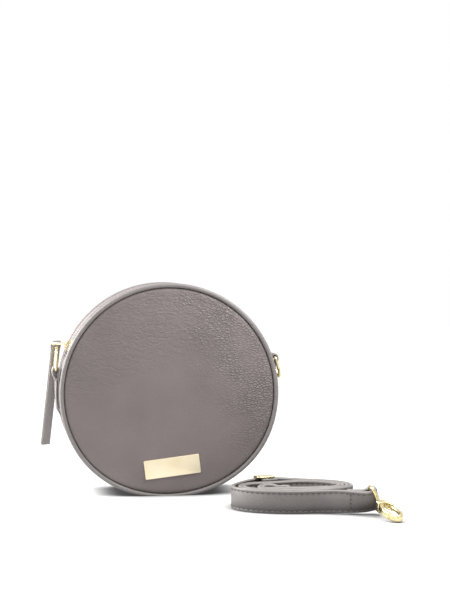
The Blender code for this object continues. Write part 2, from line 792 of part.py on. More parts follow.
def framed(points, twists):
    """Stations of (centre, along, out, up) along points. up is turned about along by a twist."""
    stations = []
    last = len(points) - 1
    for number, (point, twist) in enumerate(zip(points, twists)):
        along = (points[min(number + 1, last)] - points[max(number - 1, 0)]).normalized()
        up = Vector((0, 0, 1))
        up = (up - up.dot(along) * along).normalized()
        up = Matrix.Rotation(twist, 3, along) @ up
        stations.append((point, along, up.cross(along), up))
    return stations


def strap_middle():
    """Stations of the doubled strap's middle, from the bar of clasp a to the bar of clasp b."""
    first = coil_point(COIL_START_TURN)
    way = (coil_point(COIL_START_TURN + 1 / COIL_STEPS) - first).normalized()
    leave = Vector((
        -math.cos(END_A_HEADING) * math.cos(END_A_RISE),
        math.sin(END_A_HEADING) * math.cos(END_A_RISE),
        -math.sin(END_A_RISE),
    ))
    start = Vector(BAR_A) + (EYE_TURN - HALF_FOLD) * end_a_frame(leave)[1]
    points = []
    twists = []
    for step in range(END_STEPS):
        share = step / END_STEPS
        points.append(bow(start, leave * END_A_BOW, first, way * END_A_BOW, share))
        points[-1].z += END_LIFT * math.sin(math.pi * share) ** 2
        twists.append(END_A_TWIST * (1 - eased(share / END_A_TWIST_SHARE)))
    count = round((SPIRAL_END_TURN - COIL_START_TURN) * COIL_STEPS)
    for step in range(count):
        points.append(coil_point(COIL_START_TURN + step / COIL_STEPS))
        twists.append(0.0)
    last = coil_point(SPIRAL_END_TURN)
    way = (last - coil_point(SPIRAL_END_TURN - 1 / COIL_STEPS)).normalized()
    end = Vector(BAR_B)
    arrive = Vector((math.cos(END_B_HEADING), math.sin(END_B_HEADING), 0))
    for step in range(END_STEPS + 1):
        share = step / END_STEPS
        points.append(bow(last, way * END_B_BOW, end, arrive * END_B_BOW, share))
        points[-1].z += END_LIFT * math.sin(math.pi * share) ** 2
        twists.append(END_B_TWIST * eased(2 * share - 1))
    return framed(points, twists)


def end_a_frame(along):
    """(along, out, up) at the bar of clasp a."""
    up = Vector((0, 0, 1))
    up = (up - up.dot(along) * along).normalized()
    up = Matrix.Rotation(END_A_TWIST, 3, along) @ up
    return along, up.cross(along), up


def half_circle(centre, radius, first, beyond, up):
    """Stations of a half turn round a bar, from the side of first, past beyond."""
    rows = []
    for step in range(1, FOLD_STEPS):
        turn = math.pi * step / FOLD_STEPS
        rows.append((centre + radius * (math.cos(turn) * first + math.sin(turn) * beyond), up))
    return rows


def make_strap():
    """The strap's one band, with its folds round the clasps' bars and the slide's middle bar."""
    stations = strap_middle()
    lengths = [0.0]
    for here, there in zip(stations, stations[1:]):
        lengths.append(lengths[-1] + (there[0] - here[0]).length)
    total = lengths[-1]
    slide_number = END_STEPS + round((SLIDE_TURN - COIL_START_TURN) * COIL_STEPS)
    rows = []
    for number in reversed(range(len(stations))):
        centre, along, out, up = stations[number]
        if lengths[number] < FOLD_LENGTH:
            closed = eased(lengths[number] / FOLD_CLOSE)
            off = -HALF_FOLD - 2 * (EYE_TURN - HALF_FOLD) * (1 - closed)
            rows.append((centre + off * out, up))
    centre, along, out, up = stations[0]
    bar_a = centre - (EYE_TURN - HALF_FOLD) * out
    rows += half_circle(bar_a, EYE_TURN, -out, -along, up)
    for number, (centre, along, out, up) in enumerate(stations):
        opened = (EYE_TURN - HALF_FOLD) * (1 - eased((total - lengths[number]) / FOLD_CLOSE))
        rows.append((centre + (HALF_FOLD + opened) * out, up))
    centre, along, out, up = stations[-1]
    rows += half_circle(centre, EYE_TURN, out, along, up)
    for number in reversed(range(slide_number, len(stations))):
        centre, along, out, up = stations[number]
        opened = (EYE_TURN - HALF_FOLD) * (1 - eased((total - lengths[number]) / FOLD_CLOSE))
        rows.append((centre - (HALF_FOLD + opened) * out, up))
    slide_centre, slide_along, slide_out, slide_up = stations[slide_number]
    bar = slide_centre - (HALF_FOLD + SLIDE_TURN_RADIUS) * slide_out
    rows += half_circle(bar, SLIDE_TURN_RADIUS, slide_out, -slide_along, slide_up)
    for number in range(slide_number, len(stations)):
        gone = lengths[number] - lengths[slide_number]
        if gone > SLIDE_TAIL:
            break
        centre, along, out, up = stations[number]
        closed = eased(gone / FOLD_CLOSE)
        spread = 2 * SLIDE_TURN_RADIUS + (FOLD_SPACING - 2 * SLIDE_TURN_RADIUS) * closed
        rows.append((centre - (HALF_FOLD + spread) * out, up))
    lift = empty("strap_lift_axis")
    bands = [(centre, up * HALF_STRAP) for centre, up in rows]
    ribbon("strap", bands, STRAP_LEATHER, lift, leather("strap_leather"))
    print_spacing(stations, rows)
    make_slide(lift, stations[slide_number])
    make_clasp("a", lift, bar_a, stations[0], -1, SWING_A, SWIVEL_A)
    make_clasp("b", lift, stations[-1][0], stations[-1], 1, SWING_B, SWIVEL_B)


def print_spacing(stations, rows):
    """Prints the strap's length and the least gap between its layers, in millimetres."""
    length = sum((b[0] - a[0]).length for a, b in zip(rows, rows[1:]))
    flat = [centre.to_2d() for centre, up in rows]
    least = 1.0
    for first in range(len(flat)):
        walked = 0.0
        for second in range(first + 1, len(flat) - 1):
            walked += (flat[second] - flat[second - 1]).length
            if walked < 4 * EYE_TURN:
                continue
            start, run = flat[second], flat[second + 1] - flat[second]
            share = min(1.0, max(0.0, (flat[first] - start).dot(run) / max(run.length_squared, MERGE ** 2)))
            least = min(least, (flat[first] - start - share * run).length)
    print("strap length", length / GAP * 0.3, "mm, least layer gap", (least - STRAP_LEATHER) / GAP * 0.3)


def make_slide(lift, station):
    """The strap's slide: two rounded side plates, a middle bar and two outer bars."""
    centre, along, out, up = station
    frame = Matrix((along, out, up)).transposed().to_4x4()
    frame.translation = centre
    axis = empty("slide_axis", lift, frame)
    main = HALF_FOLD
    outer_bar = main + STRAP_LEATHER / 2 + PLAY + SLIDE_BAR
    middle_bar = -HALF_FOLD - SLIDE_TURN_RADIUS
    top = outer_bar + SLIDE_BAR
    bottom = middle_bar - SLIDE_BAR
    depth = top - bottom
    side_height = HALF_STRAP + GAP + SLIDE_PLATE / 2
    outline = rounded(SLIDE_LENGTH, depth, SLIDE_CORNER)
    slide = None
    for name, side in (("slide", 1), ("slide_lower_side", -1)):
        place = Matrix.Translation((0, (top + bottom) / 2, side * side_height))
        made = plate(name, [outline], SLIDE_PLATE, axis, place, metal(name + "_metal"))
        if slide is None:
            slide = made
        else:
            boolean(slide, made, "UNION")
    reach = SLIDE_LENGTH / 2 - SLIDE_CORNER
    for name, x, y in (
        ("slide_middle_bar", 0.0, middle_bar),
        ("slide_first_bar", -reach, outer_bar),
        ("slide_last_bar", reach, outer_bar),
    ):
        place = Matrix.Translation((x, y, 0))
        bar = cylinder(name, SLIDE_BAR, 2 * side_height, axis, place, None, 12)
        boolean(slide, bar, "UNION")
    slide.name = "strap_slide"


def hook_outlines(start):
    """The snap hook's outline and its opening, along +X from the neck's start."""
    end = start + HOOK_LENGTH
    half_long = (HOOK_LENGTH - NECK_LENGTH) / 2
    centre = end - half_long
    meet = math.pi - math.asin(NECK_HALF / HOOK_HALF)
    outer = [(start, -NECK_HALF), (centre + half_long * math.cos(meet), -NECK_HALF)]
    for step in range(1, 18):
        turn = -meet + 2 * meet * step / 18
        outer.append((centre + half_long * math.cos(turn), HOOK_HALF * math.sin(turn)))
    outer += [(centre + half_long * math.cos(meet), NECK_HALF), (start, NECK_HALF)]
    pocket = HEAD_RADIUS + PLAY
    inner_half = HOOK_HALF - HOOK_WALL
    inner_end = end - HOOK_NOSE_WALL
    inner_start = start + NECK_LENGTH
    inner_long = (inner_end - inner_start) / 2
    inner_centre = inner_end - inner_long
    meet = math.pi - math.asin(pocket / inner_half)
    inner = [(inner_start, -pocket), (inner_centre + inner_long * math.cos(meet), -pocket)]
    for step in range(1, 14):
        turn = -meet + 2 * meet * step / 14
        inner.append((inner_centre + inner_long * math.cos(turn), inner_half * math.sin(turn)))
    inner += [(inner_centre + inner_long * math.cos(meet), pocket), (inner_start, pocket)]
    return outer, inner


def wall_at(x, start, inside):
    """The half width of the hook's outer or inner outline at x."""
    end = start + HOOK_LENGTH
    if inside:
        end -= HOOK_NOSE_WALL
        half_long = (end - start - NECK_LENGTH) / 2
        half = HOOK_HALF - HOOK_WALL
    else:
        half_long = (HOOK_LENGTH - NECK_LENGTH) / 2
        half = HOOK_HALF
    share = (x - (end - half_long)) / half_long
    return half * math.sqrt(max(0.0, 1 - share * share))


def make_clasp(letter, lift, bar, station, side, swing, swivel):
    """A swivel clasp: its eye round the strap's bar, its snap hook, the gate and the gate's pin.

    The frame has its X axis from the bar to the hook's nose and its Z axis along the bar.
    """
    centre, along, out, up = station
    forward = side * along
    forward = math.cos(swing) * forward + math.sin(swing) * out
    sideways = up.cross(forward)
    frame = Matrix((forward, sideways, up)).transposed().to_4x4()
    frame.translation = bar
    axis = empty(f"eye_{letter}_axis", lift, frame)
    half = HALF_STRAP + EYE_SIDE_PLAY + EYE_WIRE
    points = [(0.0, 0.0, -half * 0.5), (0.0, 0.0, half * 0.5)]
    for step in range(15):
        turn = math.pi / 2 - math.pi * step / 14
        reach = max(0.0, math.cos(turn)) ** EYE_SQUARE_SHARE
        points.append((EYE_REACH * reach, 0.0, half * math.sin(turn)))
    eye = as_mesh(wire(f"clasp_{letter}_eye", points, EYE_WIRE, axis, True, metal(f"eye_{letter}_metal")))
    neck = EYE_REACH + EYE_WIRE + GAP
    post_end = neck + NECK_LENGTH + GAP + HEAD_THICKNESS
    lie = Matrix.Rotation(math.pi / 2, 4, "Y")
    post_length = post_end - EYE_REACH
    place = Matrix.Translation((EYE_REACH + post_length / 2, 0, 0)) @ lie
    boolean(eye, cylinder(f"post_{letter}", POST_RADIUS, post_length, axis, place), "UNION")
    place = Matrix.Translation((post_end - HEAD_THICKNESS / 2, 0, 0)) @ lie
    boolean(eye, cylinder(f"head_{letter}", HEAD_RADIUS, HEAD_THICKNESS, axis, place), "UNION")
    swivel_axis = empty(f"swivel_{letter}_axis", axis, Matrix.Rotation(swivel, 4, "X"))
    outer, inner = hook_outlines(neck)
    hook = plate(
        f"clasp_{letter}_hook", [outer, inner], HOOK_THICKNESS, swivel_axis, None,
        metal(f"hook_{letter}_metal"),
    )
    place = Matrix.Translation((neck + NECK_LENGTH / 2, 0, 0)) @ lie
    bore = cylinder(f"post_bore_{letter}", POST_RADIUS + GAP, NECK_LENGTH + OVERRUN, swivel_axis, place)
    boolean(hook, bore, "DIFFERENCE")
    root = neck + GATE_START
    slot_start = root - GATE_ROOT - GAP
    ear_end = root + EAR_LENGTH / 2
    gap_end = root + GATE_LENGTH
    low = min(wall_at(root, neck, True), wall_at(gap_end, neck, True)) - PLAY
    reach = HOOK_HALF + OVERRUN - low
    slot = box(
        f"gate_slot_{letter}", (ear_end + OVERRUN - slot_start, reach, GATE_THICKNESS + 2 * GAP),
        swivel_axis, ((slot_start + ear_end + OVERRUN) / 2, low + reach / 2, 0),
    )
    opening = box(
        f"gate_opening_{letter}", (gap_end - ear_end, reach, HOOK_THICKNESS + OVERRUN),
        swivel_axis, ((ear_end + gap_end) / 2, low + reach / 2, 0),
    )
    boolean(hook, slot, "DIFFERENCE")
    boolean(hook, opening, "DIFFERENCE")
    pivot_y = (wall_at(root, neck, True) + wall_at(root, neck, False)) / 2
    pivot = Matrix.Translation((root, pivot_y, 0))
    gate_axis = empty(f"gate_{letter}_axis", swivel_axis, pivot)
    gate_end = gap_end - GAP
    outline = []
    for step in range(7):
        turn = math.pi * 1.5 - math.pi * step / 6
        outline.append((GATE_ROOT * math.cos(turn), GATE_ROOT * math.sin(turn)))
    for step in range(1, 7):
        x = root + (gate_end - root) * step / 6
        outline.append((x - root, wall_at(x, neck, False) - pivot_y))
    for step in range(6, 0, -1):
        x = root + (gate_end - root) * step / 6
        outline.append((x - root, wall_at(x, neck, True) - pivot_y))
    gate = plate(
        f"clasp_{letter}_gate", [outline], GATE_THICKNESS, gate_axis, None,
        metal(f"gate_{letter}_metal"),
    )
    pin_hole = cylinder(
        f"gate_bore_{letter}", GATE_PIN + GAP, HOOK_THICKNESS + OVERRUN, gate_axis, None, None, 12
    )
    boolean(gate, pin_hole, "DIFFERENCE")
    boolean(hook, pin_hole, "DIFFERENCE")
    cylinder(
        f"clasp_{letter}_pin", GATE_PIN, HOOK_THICKNESS - 2 * GAP, swivel_axis, pivot,
        metal(f"pin_{letter}_metal"), 12,
    )


# How far down a tab its inner and outer layers have risen off the gusset, as shares
TAB_INNER_SHARES = ((1.0, 0.0), (0.75, 0.0), (0.5, 0.04), (0.35, 0.22), (0.2, 0.62), (0.08, 0.93), (0.0, 1.0))
TAB_OUTER_SHARES = (
    (0.0, 1.0), (0.06, 0.94), (0.14, 0.66), (0.25, 0.36), (0.37, 0.22),
    (0.5, 0.14), (0.65, 0.07), (0.8, 0.0), (1.0, -0.10),
)

clear_scene()
PARTS = collection("round_crossbody_bag")
GUIDES = collection("guides")
BAG_MIDDLE = empty(
    "bag_middle", None, Matrix.Translation((0, 0, FOOT_DROP)) @ Matrix.Rotation(-ROLL, 4, "Y")
)
make_bag_shell(BAG_MIDDLE)
make_zip(BAG_MIDDLE)
make_pull(BAG_MIDDLE)
make_tabs(BAG_MIDDLE)
make_name_plate(BAG_MIDDLE)
make_strap()
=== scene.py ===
"""A round leather crossbody bag beside its coiled strap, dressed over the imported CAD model.

Lengths are in metres and places are in the frame of the CAD model: +Z is up, the floor is at
z = 0 and the bag's front looks along -Y.
"""

from __future__ import annotations

import logging
from dataclasses import dataclass, field
from enum import Enum
from math import (
    acos, asin, atan2, copysign, cos, dist, hypot, pi, radians, remainder, sin, sqrt, tau,
)

import bmesh
import bpy
from bpy.types import ID, Material, Mesh, Node, NodeSocket, NodeTree, Object
from mathutils import Matrix, Vector, noise


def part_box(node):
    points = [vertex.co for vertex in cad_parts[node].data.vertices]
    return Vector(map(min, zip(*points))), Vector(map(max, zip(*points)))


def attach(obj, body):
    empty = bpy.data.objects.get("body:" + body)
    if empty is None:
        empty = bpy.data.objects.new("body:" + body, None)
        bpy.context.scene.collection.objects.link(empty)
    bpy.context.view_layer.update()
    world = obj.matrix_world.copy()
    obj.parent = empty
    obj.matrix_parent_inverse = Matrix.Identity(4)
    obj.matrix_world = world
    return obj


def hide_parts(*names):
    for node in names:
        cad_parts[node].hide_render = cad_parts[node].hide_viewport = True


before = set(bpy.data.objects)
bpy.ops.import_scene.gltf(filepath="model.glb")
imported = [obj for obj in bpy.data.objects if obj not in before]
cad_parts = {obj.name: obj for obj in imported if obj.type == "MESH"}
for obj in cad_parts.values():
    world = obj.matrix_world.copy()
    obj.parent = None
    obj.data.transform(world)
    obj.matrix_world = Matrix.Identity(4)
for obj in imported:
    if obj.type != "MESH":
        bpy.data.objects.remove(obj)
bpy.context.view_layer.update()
LOG = logging.getLogger("crossbody_bag")

FLOOR_CLEARANCE = 0.0001
SHARP_ANGLE = radians(42.0)

Row = tuple[Vector, Vector]
Outline = list[tuple[float, float]]
Place = tuple[float, float, float]


class Named(Enum):
    """A choice whose word is part of names in the CAD model."""

    @property
    def word(self) -> str:
        """The choice's word."""
        return self.name.lower()


class Face(Named):
    """The two round faces of the bag, by the side of the middle that they lie on."""

    FRONT = -1
    BACK = 1


class End(Named):
    """The two sides of the bag that carry a ring tab, by the way the tab runs down."""

    LEFT = 1
    RIGHT = -1


class Clasp(Named):
    """The strap's two swivel clasps, by the way that they point along the strap."""

    A = -1
    B = 1


class Weave(Enum):
    """Where a woven cloth takes its thread directions from."""

    ALONG = "UV"
    FLAT = "Object"


def linear(code: str) -> tuple[float, float, float, float]:
    """Turns an sRGB hex colour to the linear values that a shader takes.

    Args:
        code: The colour as six hex digits after a hash sign.

    Returns:
        Red, green, blue and a full alpha.
    """
    channels = []
    for start in (1, 3, 5):
        value = int(code[start:start + 2], 16) / 255
        channels.append(value / 12.92 if value <= 0.04045 else ((value + 0.055) / 1.055) ** 2.4)
    return (*channels, 1.0)


def fill(tree: NodeTree, node: Node, inputs: dict) -> None:
    """Sets or links a node's inputs.

    Args:
        tree: The node tree that holds the node.
        node: The node.
        inputs: By name or number, a value, a socket, or a node whose first output is linked.
    """
    for key, value in inputs.items():
        if isinstance(value, Node):
            value = value.outputs[0]
        if isinstance(value, NodeSocket):
            tree.links.new(value, node.inputs[key])
        else:
            node.inputs[key].default_value = value


def put(tree: NodeTree, kind: str, inputs: dict | None = None, **settings: object) -> Node:
    """Adds a node with its settings, its values and its links.

    Args:
        tree: The node tree to add to.
        kind: The node's type name, without the first part that all shader nodes share.
        inputs: What fill takes.
        **settings: The node's own properties.

    Returns:
        The new node.
    """
    node = tree.nodes.new("ShaderNode" + kind)
    for key, value in settings.items():
        setattr(node, key, value)
    fill(tree, node, inputs or {})
    return node


def blank(name: str, spot: str = "Object") -> tuple[Material, NodeTree, Node, NodeSocket]:
    """Starts a material.

    Args:
        name: The material's name.
        spot: Which coordinates its textures lie in.

    Returns:
        The material, its node tree, its Principled shader and the coordinates.
    """
    material = bpy.data.materials.new(name)
    material.use_nodes = True
    tree = material.node_tree
    return material, tree, tree.nodes["Principled BSDF"], put(tree, "TexCoord").outputs[spot]


@dataclass(frozen=True)
class MilledLeather:
    """Calf leather, drum dyed and tumbled.

    Tumbling draws the grain up into soft pebbles with creases between them, so the
    surface has a broken, low sheen with a faint cool bloom where light grazes it. Painted shade
    darkens the colour in the creases, on top of a random darker tone.
    """

    name: str
    grain_hex: str
    crease_shade_and_tone_hex: str
    pebble_mm: float = 2.0
    relief_mm: float = 0.16
    roughness: float = 0.50
    sheen: float = 0.06
    grained_way: Place = (0.0, 0.0, 0.0)
    grained_from: float = 0.0
    grained_to: float = 1.0
    streaks: bool = False
    painted_shade_mm: float = 0.0

    def build(self) -> Material:
        """Makes the material.

        Returns:
            The leather, with its pebbles sized in real millimetres.
        """
        material, tree, shader, spot = blank(self.name)
        pebble = self.pebble_mm / 1000
        wander = put(tree, "TexNoise", {"Vector": spot, "Scale": 0.45 / pebble, "Detail": 2.0})
        shifted = put(tree, "VectorMath", {
            0: wander.outputs["Color"], 1: (0.7 * pebble,) * 3, 2: spot,
        }, operation="MULTIPLY_ADD")
        drawn = put(tree, "Mapping", {
            "Vector": shifted, "Rotation": (0.0, radians(38.0), 0.0), "Scale": (0.72, 1.0, 1.15),
        })
        cells = put(tree, "TexVoronoi", {
            "Vector": drawn, "Scale": 1 / pebble,
        }, feature="DISTANCE_TO_EDGE")
        domes = put(tree, "MapRange", {
            "Value": cells, "From Min": 0.0, "From Max": 0.30,
        }, interpolation_type="SMOOTHSTEP")
        zones = put(tree, "TexNoise", {"Vector": spot, "Scale": 1 / 0.026, "Detail": 1.0})
        strength = put(tree, "MapRange", {
            "Value": zones, "From Min": 0.30, "From Max": 0.62, "To Min": 0.35, "To Max": 1.0,
        })
        if any(self.grained_way):
            slope = put(tree, "VectorMath", {0: spot, 1: self.grained_way}, operation="DOT_PRODUCT")
            grained = put(tree, "MapRange", {
                "Value": slope.outputs["Value"], "From Min": self.grained_from,
                "From Max": self.grained_to, "To Min": 0.10, "To Max": 1.0,
            }, interpolation_type="SMOOTHSTEP")
            strength = put(tree, "Math", {0: strength, 1: grained}, operation="MULTIPLY")
        # Pores are about 0.1 mm; they are drawn at 0.8 mm so that they show in the render
        pores = put(tree, "TexNoise", {"Vector": spot, "Scale": 1 / 0.0008, "Detail": 2.0})
        height = put(tree, "Math", {0: domes, 1: strength}, operation="MULTIPLY")
        height = put(tree, "Math", {0: pores, 1: 0.10, 2: height}, operation="MULTIPLY_ADD")
        if self.streaks:
            height = self.add_streaks(tree, spot, height)
        bump = put(tree, "Bump", {
            "Height": height, "Strength": 1.0, "Distance": self.relief_mm / 1000,
        })
        # Painted shade: the colour darkens towards the crease colour in the valleys between
        # pebbles, and a random darker tone is added to it
        valley = put(tree, "Math", {0: 1.0, 1: domes}, operation="SUBTRACT")
        valley = put(tree, "Math", {0: valley, 1: strength}, operation="MULTIPLY")
        tone = put(tree, "TexNoise", {"Vector": spot, "Scale": 1 / 0.040, "Detail": 2.0})
        tone = put(tree, "MapRange", {
            "Value": tone, "From Min": 0.35, "From Max": 0.70, "To Max": 0.22,
        })
        depth = put(tree, "Math", {
            0: valley, 1: 0.45, 2: tone,
        }, operation="MULTIPLY_ADD", use_clamp=True)
        colour = put(tree, "Mix", {
            0: depth, 6: linear(self.grain_hex), 7: linear(self.crease_shade_and_tone_hex),
        }, data_type="RGBA").outputs[2]
        if self.painted_shade_mm:
            # Painted shade: between the turns of a coil the leather sees little of the studio, so
            # ambient occlusion darkens its colour
            near = put(tree, "AmbientOcclusion", {"Distance": self.painted_shade_mm / 1000}, samples=8)
            shade = put(tree, "MapRange", {
                "Value": near.outputs["AO"], "From Min": 0.22, "From Max": 0.74, "To Min": 0.24,
                "To Max": 1.0,
            })
            colour = put(tree, "VectorMath", {0: colour, 3: shade}, operation="SCALE")
        gloss = put(tree, "MapRange", {
            "Value": domes, "To Min": self.roughness + 0.10, "To Max": self.roughness - 0.06,
        })
        fill(tree, shader, {
            "Base Color": colour, "Roughness": gloss, "Normal": bump, "Sheen Weight": self.sheen,
            "Sheen Roughness": 0.45, "Sheen Tint": linear("#CFC6D6"),
        })
        return material

    def add_streaks(self, tree: NodeTree, spot: NodeSocket, height: Node) -> Node:
        """Adds the fine growth creases that run level across the hide's upper left.

        Args:
            tree: The material's node tree.
            spot: The place on the object.
            height: The relief so far.

        Returns:
            The relief with the creases in it.
        """
        drawn = put(tree, "Mapping", {
            "Vector": spot, "Rotation": (0.0, radians(-6.0), 0.0), "Scale": (0.48, 1.0, 1.0),
        })
        lines = put(tree, "TexNoise", {
            "Vector": drawn, "Scale": 1 / 0.0031, "Detail": 2.0, "Distortion": 1.1,
        })
        cut = put(tree, "MapRange", {
            "Value": lines, "From Min": 0.38, "From Max": 0.58,
        }, interpolation_type="SMOOTHSTEP")
        across = put(tree, "VectorMath", {0: spot, 1: (-0.45, 0.0, 0.89)}, operation="DOT_PRODUCT")
        where = put(tree, "MapRange", {
            "Value": across.outputs["Value"], "From Min": 0.090, "From Max": 0.130, "To Min": 0.0,
            "To Max": 0.62,
        }, interpolation_type="SMOOTHSTEP")
        return put(tree, "Math", {0: cut, 1: where, 2: height}, operation="MULTIPLY_ADD")


@dataclass(frozen=True)
class EdgePaint:
    """Acrylic edge paint, brushed on in coats and burnished.

    It is smoother and paler than the leather, with a soft gloss and slight waves from the brush.
    """

    name: str
    paint_hex: str
    roughness: float = 0.38

    def build(self) -> Material:
        """Makes the material.

        Returns:
            The edge paint.
        """
        material, tree, shader, spot = blank(self.name)
        waves = put(tree, "TexNoise", {"Vector": spot, "Scale": 1 / 0.004, "Detail": 2.0})
        tone = put(tree, "MapRange", {"Value": waves, "To Min": 0.82, "To Max": 1.12})
        colour = put(tree, "VectorMath", {
            0: linear(self.paint_hex)[:3], 3: tone,
        }, operation="SCALE")
        bump = put(tree, "Bump", {"Height": waves, "Strength": 0.5, "Distance": 0.00015})
        fill(tree, shader, {"Base Color": colour, "Normal": bump, "Roughness": self.roughness})
        return material


@dataclass(frozen=True)
class BondedThread:
    """Polyester sewing thread, twisted and bonded.

    The twist gives each stitch fine slanting ridges and a dull shine.
    """

    name: str
    thread_hex: str

    def build(self) -> Material:
        """Makes the material.

        Returns:
            The thread.
        """
        material, tree, shader, spot = blank(self.name)
        # The twist's ridges are about 0.15 mm apart; they are drawn at 0.5 mm so that they show
        twist = put(tree, "TexWave", {
            "Vector": spot, "Scale": 1 / 0.0005 / tau, "Distortion": 1.5, "Detail": 1.0,
        }, bands_direction="DIAGONAL").outputs["Fac"]
        tone = put(tree, "MapRange", {"Value": twist, "To Min": 0.7, "To Max": 1.15})
        colour = put(tree, "VectorMath", {
            0: linear(self.thread_hex)[:3], 3: tone,
        }, operation="SCALE")
        bump = put(tree, "Bump", {"Height": twist, "Strength": 0.6, "Distance": 0.0001})
        fill(tree, shader, {"Base Color": colour, "Normal": bump, "Roughness": 0.62})
        return material


@dataclass(frozen=True)
class PlatedZinc:
    """Die-cast zinc, tumbled smooth and plated in pale gold.

    The plating is bright and thin: it mirrors its surroundings, a little softened by the
    tumbling, and the casting's slow waves bend the reflections. Its second tone, in the waves'
    hollows, stands for the darker room that the real plating mirrors.
    """

    name: str
    plating_hex: str
    shade_hex: str
    roughness: float = 0.16
    wave_mm: float = 3.0
    wave_height_mm: float = 0.03

    def build(self) -> Material:
        """Makes the material.

        Returns:
            The plated metal.
        """
        material, tree, shader, spot = blank(self.name)
        waves = put(tree, "TexNoise", {"Vector": spot, "Scale": 1000 / self.wave_mm, "Detail": 2.0})
        # Tumbling marks are a few hundredths of a millimetre; they are drawn at 0.4 mm to show
        marks = put(tree, "TexNoise", {"Vector": spot, "Scale": 1 / 0.0004, "Detail": 2.0})
        depth = put(tree, "MapRange", {"Value": waves, "From Min": 0.52, "From Max": 0.80})
        colour = put(tree, "Mix", {
            0: depth, 6: linear(self.plating_hex), 7: linear(self.shade_hex),
        }, data_type="RGBA")
        gloss = put(tree, "MapRange", {
            "Value": marks, "From Min": 0.3, "From Max": 0.7, "To Min": self.roughness - 0.04,
            "To Max": self.roughness + 0.06,
        })
        bump = put(tree, "Bump", {
            "Height": waves, "Strength": 0.6, "Distance": self.wave_height_mm / 1000,
        })
        fill(tree, shader, {
            "Base Color": colour.outputs[2], "Roughness": gloss, "Normal": bump, "Metallic": 1.0,
        })
        return material


@dataclass(frozen=True)
class WovenCloth:
    """Plain-woven polyester, for the zip's tapes and the lining.

    Its threads cross over and under, which breaks the surface into a fine dull check.
    """

    name: str
    thread_hex: str
    gap_hex: str
    thread_mm: float
    weave: Weave

    def build(self) -> Material:
        """Makes the material.

        Returns:
            The cloth, with threads at their spacing in millimetres.
        """
        material, tree, shader, spot = blank(self.name, self.weave.value)
        axes = put(tree, "SeparateXYZ", {"Vector": spot})
        waves = []
        for axis in ("X", "Y" if self.weave is Weave.ALONG else "Z"):
            turn = put(tree, "Math", {
                0: axes.outputs[axis], 1: 1000 * pi / self.thread_mm,
            }, operation="MULTIPLY")
            waves.append(put(tree, "Math", {0: turn}, operation="SINE"))
        check = put(tree, "Math", {0: waves[0], 1: waves[1]}, operation="MULTIPLY")
        height = put(tree, "MapRange", {"Value": check, "From Min": -1.0, "From Max": 1.0})
        colour = put(tree, "Mix", {
            0: height, 6: linear(self.gap_hex), 7: linear(self.thread_hex),
        }, data_type="RGBA")
        bump = put(tree, "Bump", {
            "Height": height, "Strength": 0.7, "Distance": 0.25 * self.thread_mm / 1000,
        })
        fill(tree, shader, {
            "Base Color": colour.outputs[2], "Normal": bump, "Roughness": 0.85,
            "Sheen Weight": 0.15,
        })
        return material


@dataclass(frozen=True)
class PressedBoard:
    """Grey board, pressed from recycled paper pulp.

    It is matt, with short pale and dark fibres and a slightly furry surface.
    """

    name: str
    pulp_hex: str
    fibre_hex: str

    def build(self) -> Material:
        """Makes the material.

        Returns:
            The board.
        """
        material, tree, shader, spot = blank(self.name)
        drawn = put(tree, "Mapping", {"Vector": spot, "Scale": (1.0, 1.0, 0.2)})
        fibres = put(tree, "TexNoise", {"Vector": drawn, "Scale": 1 / 0.0008, "Detail": 4.0})
        colour = put(tree, "Mix", {
            0: fibres, 6: linear(self.pulp_hex), 7: linear(self.fibre_hex),
        }, data_type="RGBA")
        bump = put(tree, "Bump", {"Height": fibres, "Strength": 0.4, "Distance": 0.0001})
        fill(tree, shader, {"Base Color": colour.outputs[2], "Normal": bump, "Roughness": 0.92})
        return material


@dataclass
class Station:
    """The place, directions and scale of one cross-section of a sweep."""

    place: Vector
    side: Vector
    out: Vector
    wide: float = 1.0
    high: float = 1.0


def eased(share: float) -> float:
    """A smooth step from 0 to 1."""
    share = min(1.0, max(0.0, share))
    return share * share * (3 - 2 * share)


def shown(name: str, mesh: Mesh, materials: list[Material]) -> Object:
    """Links a mesh to the scene as a piece.

    Args:
        name: The piece's name.
        mesh: Its mesh, in the frame of the CAD model.
        materials: The materials of its slots.

    Returns:
        The new object.
    """
    mesh.name = name
    piece = bpy.data.objects.new(name, mesh)
    bpy.context.scene.collection.objects.link(piece)
    for material in materials:
        mesh.materials.append(material)
    return piece


def closed_up(shape: bmesh.types.BMesh) -> Mesh:
    """Turns a finished bmesh to a mesh with its faces looking out.

    Args:
        shape: The shape, which is freed.

    Returns:
        The mesh, shaded smooth with its corners kept sharp.
    """
    bmesh.ops.recalc_face_normals(shape, faces=shape.faces)
    mesh = bpy.data.meshes.new("shape")
    shape.to_mesh(mesh)
    shape.free()
    mesh.shade_smooth()
    mesh.set_sharp_from_angle(angle=SHARP_ANGLE)
    return mesh


def skin(
    shape: bmesh.types.BMesh, rings: list[list[bmesh.types.BMVert]], capped: bool = True
) -> None:
    """Covers a row of rings with quads.

    Args:
        shape: The shape that the rings are part of.
        rings: The rings, with the same number of points in each.
        capped: Whether a face closes each end.
    """
    for near, far in zip(rings, rings[1:]):
        for k in range(len(near)):
            after = (k + 1) % len(near)
            shape.faces.new((near[k], near[after], far[after], far[k]))
    if capped:
        shape.faces.new(rings[0])
        shape.faces.new(rings[-1])


def distances(points: list[Vector]) -> list[float]:
    """How far along a line each of its points lies."""
    walked = [0.0]
    for here, there in zip(points, points[1:]):
        walked.append(walked[-1] + (there - here).length)
    return walked


def axes_at(place: Vector, x: Vector, y: Vector, z: Vector) -> Matrix:
    """The frame at a place with the given directions of its three axes."""
    turn = Matrix((x, y, z)).transposed().to_4x4()
    turn.translation = place
    return turn


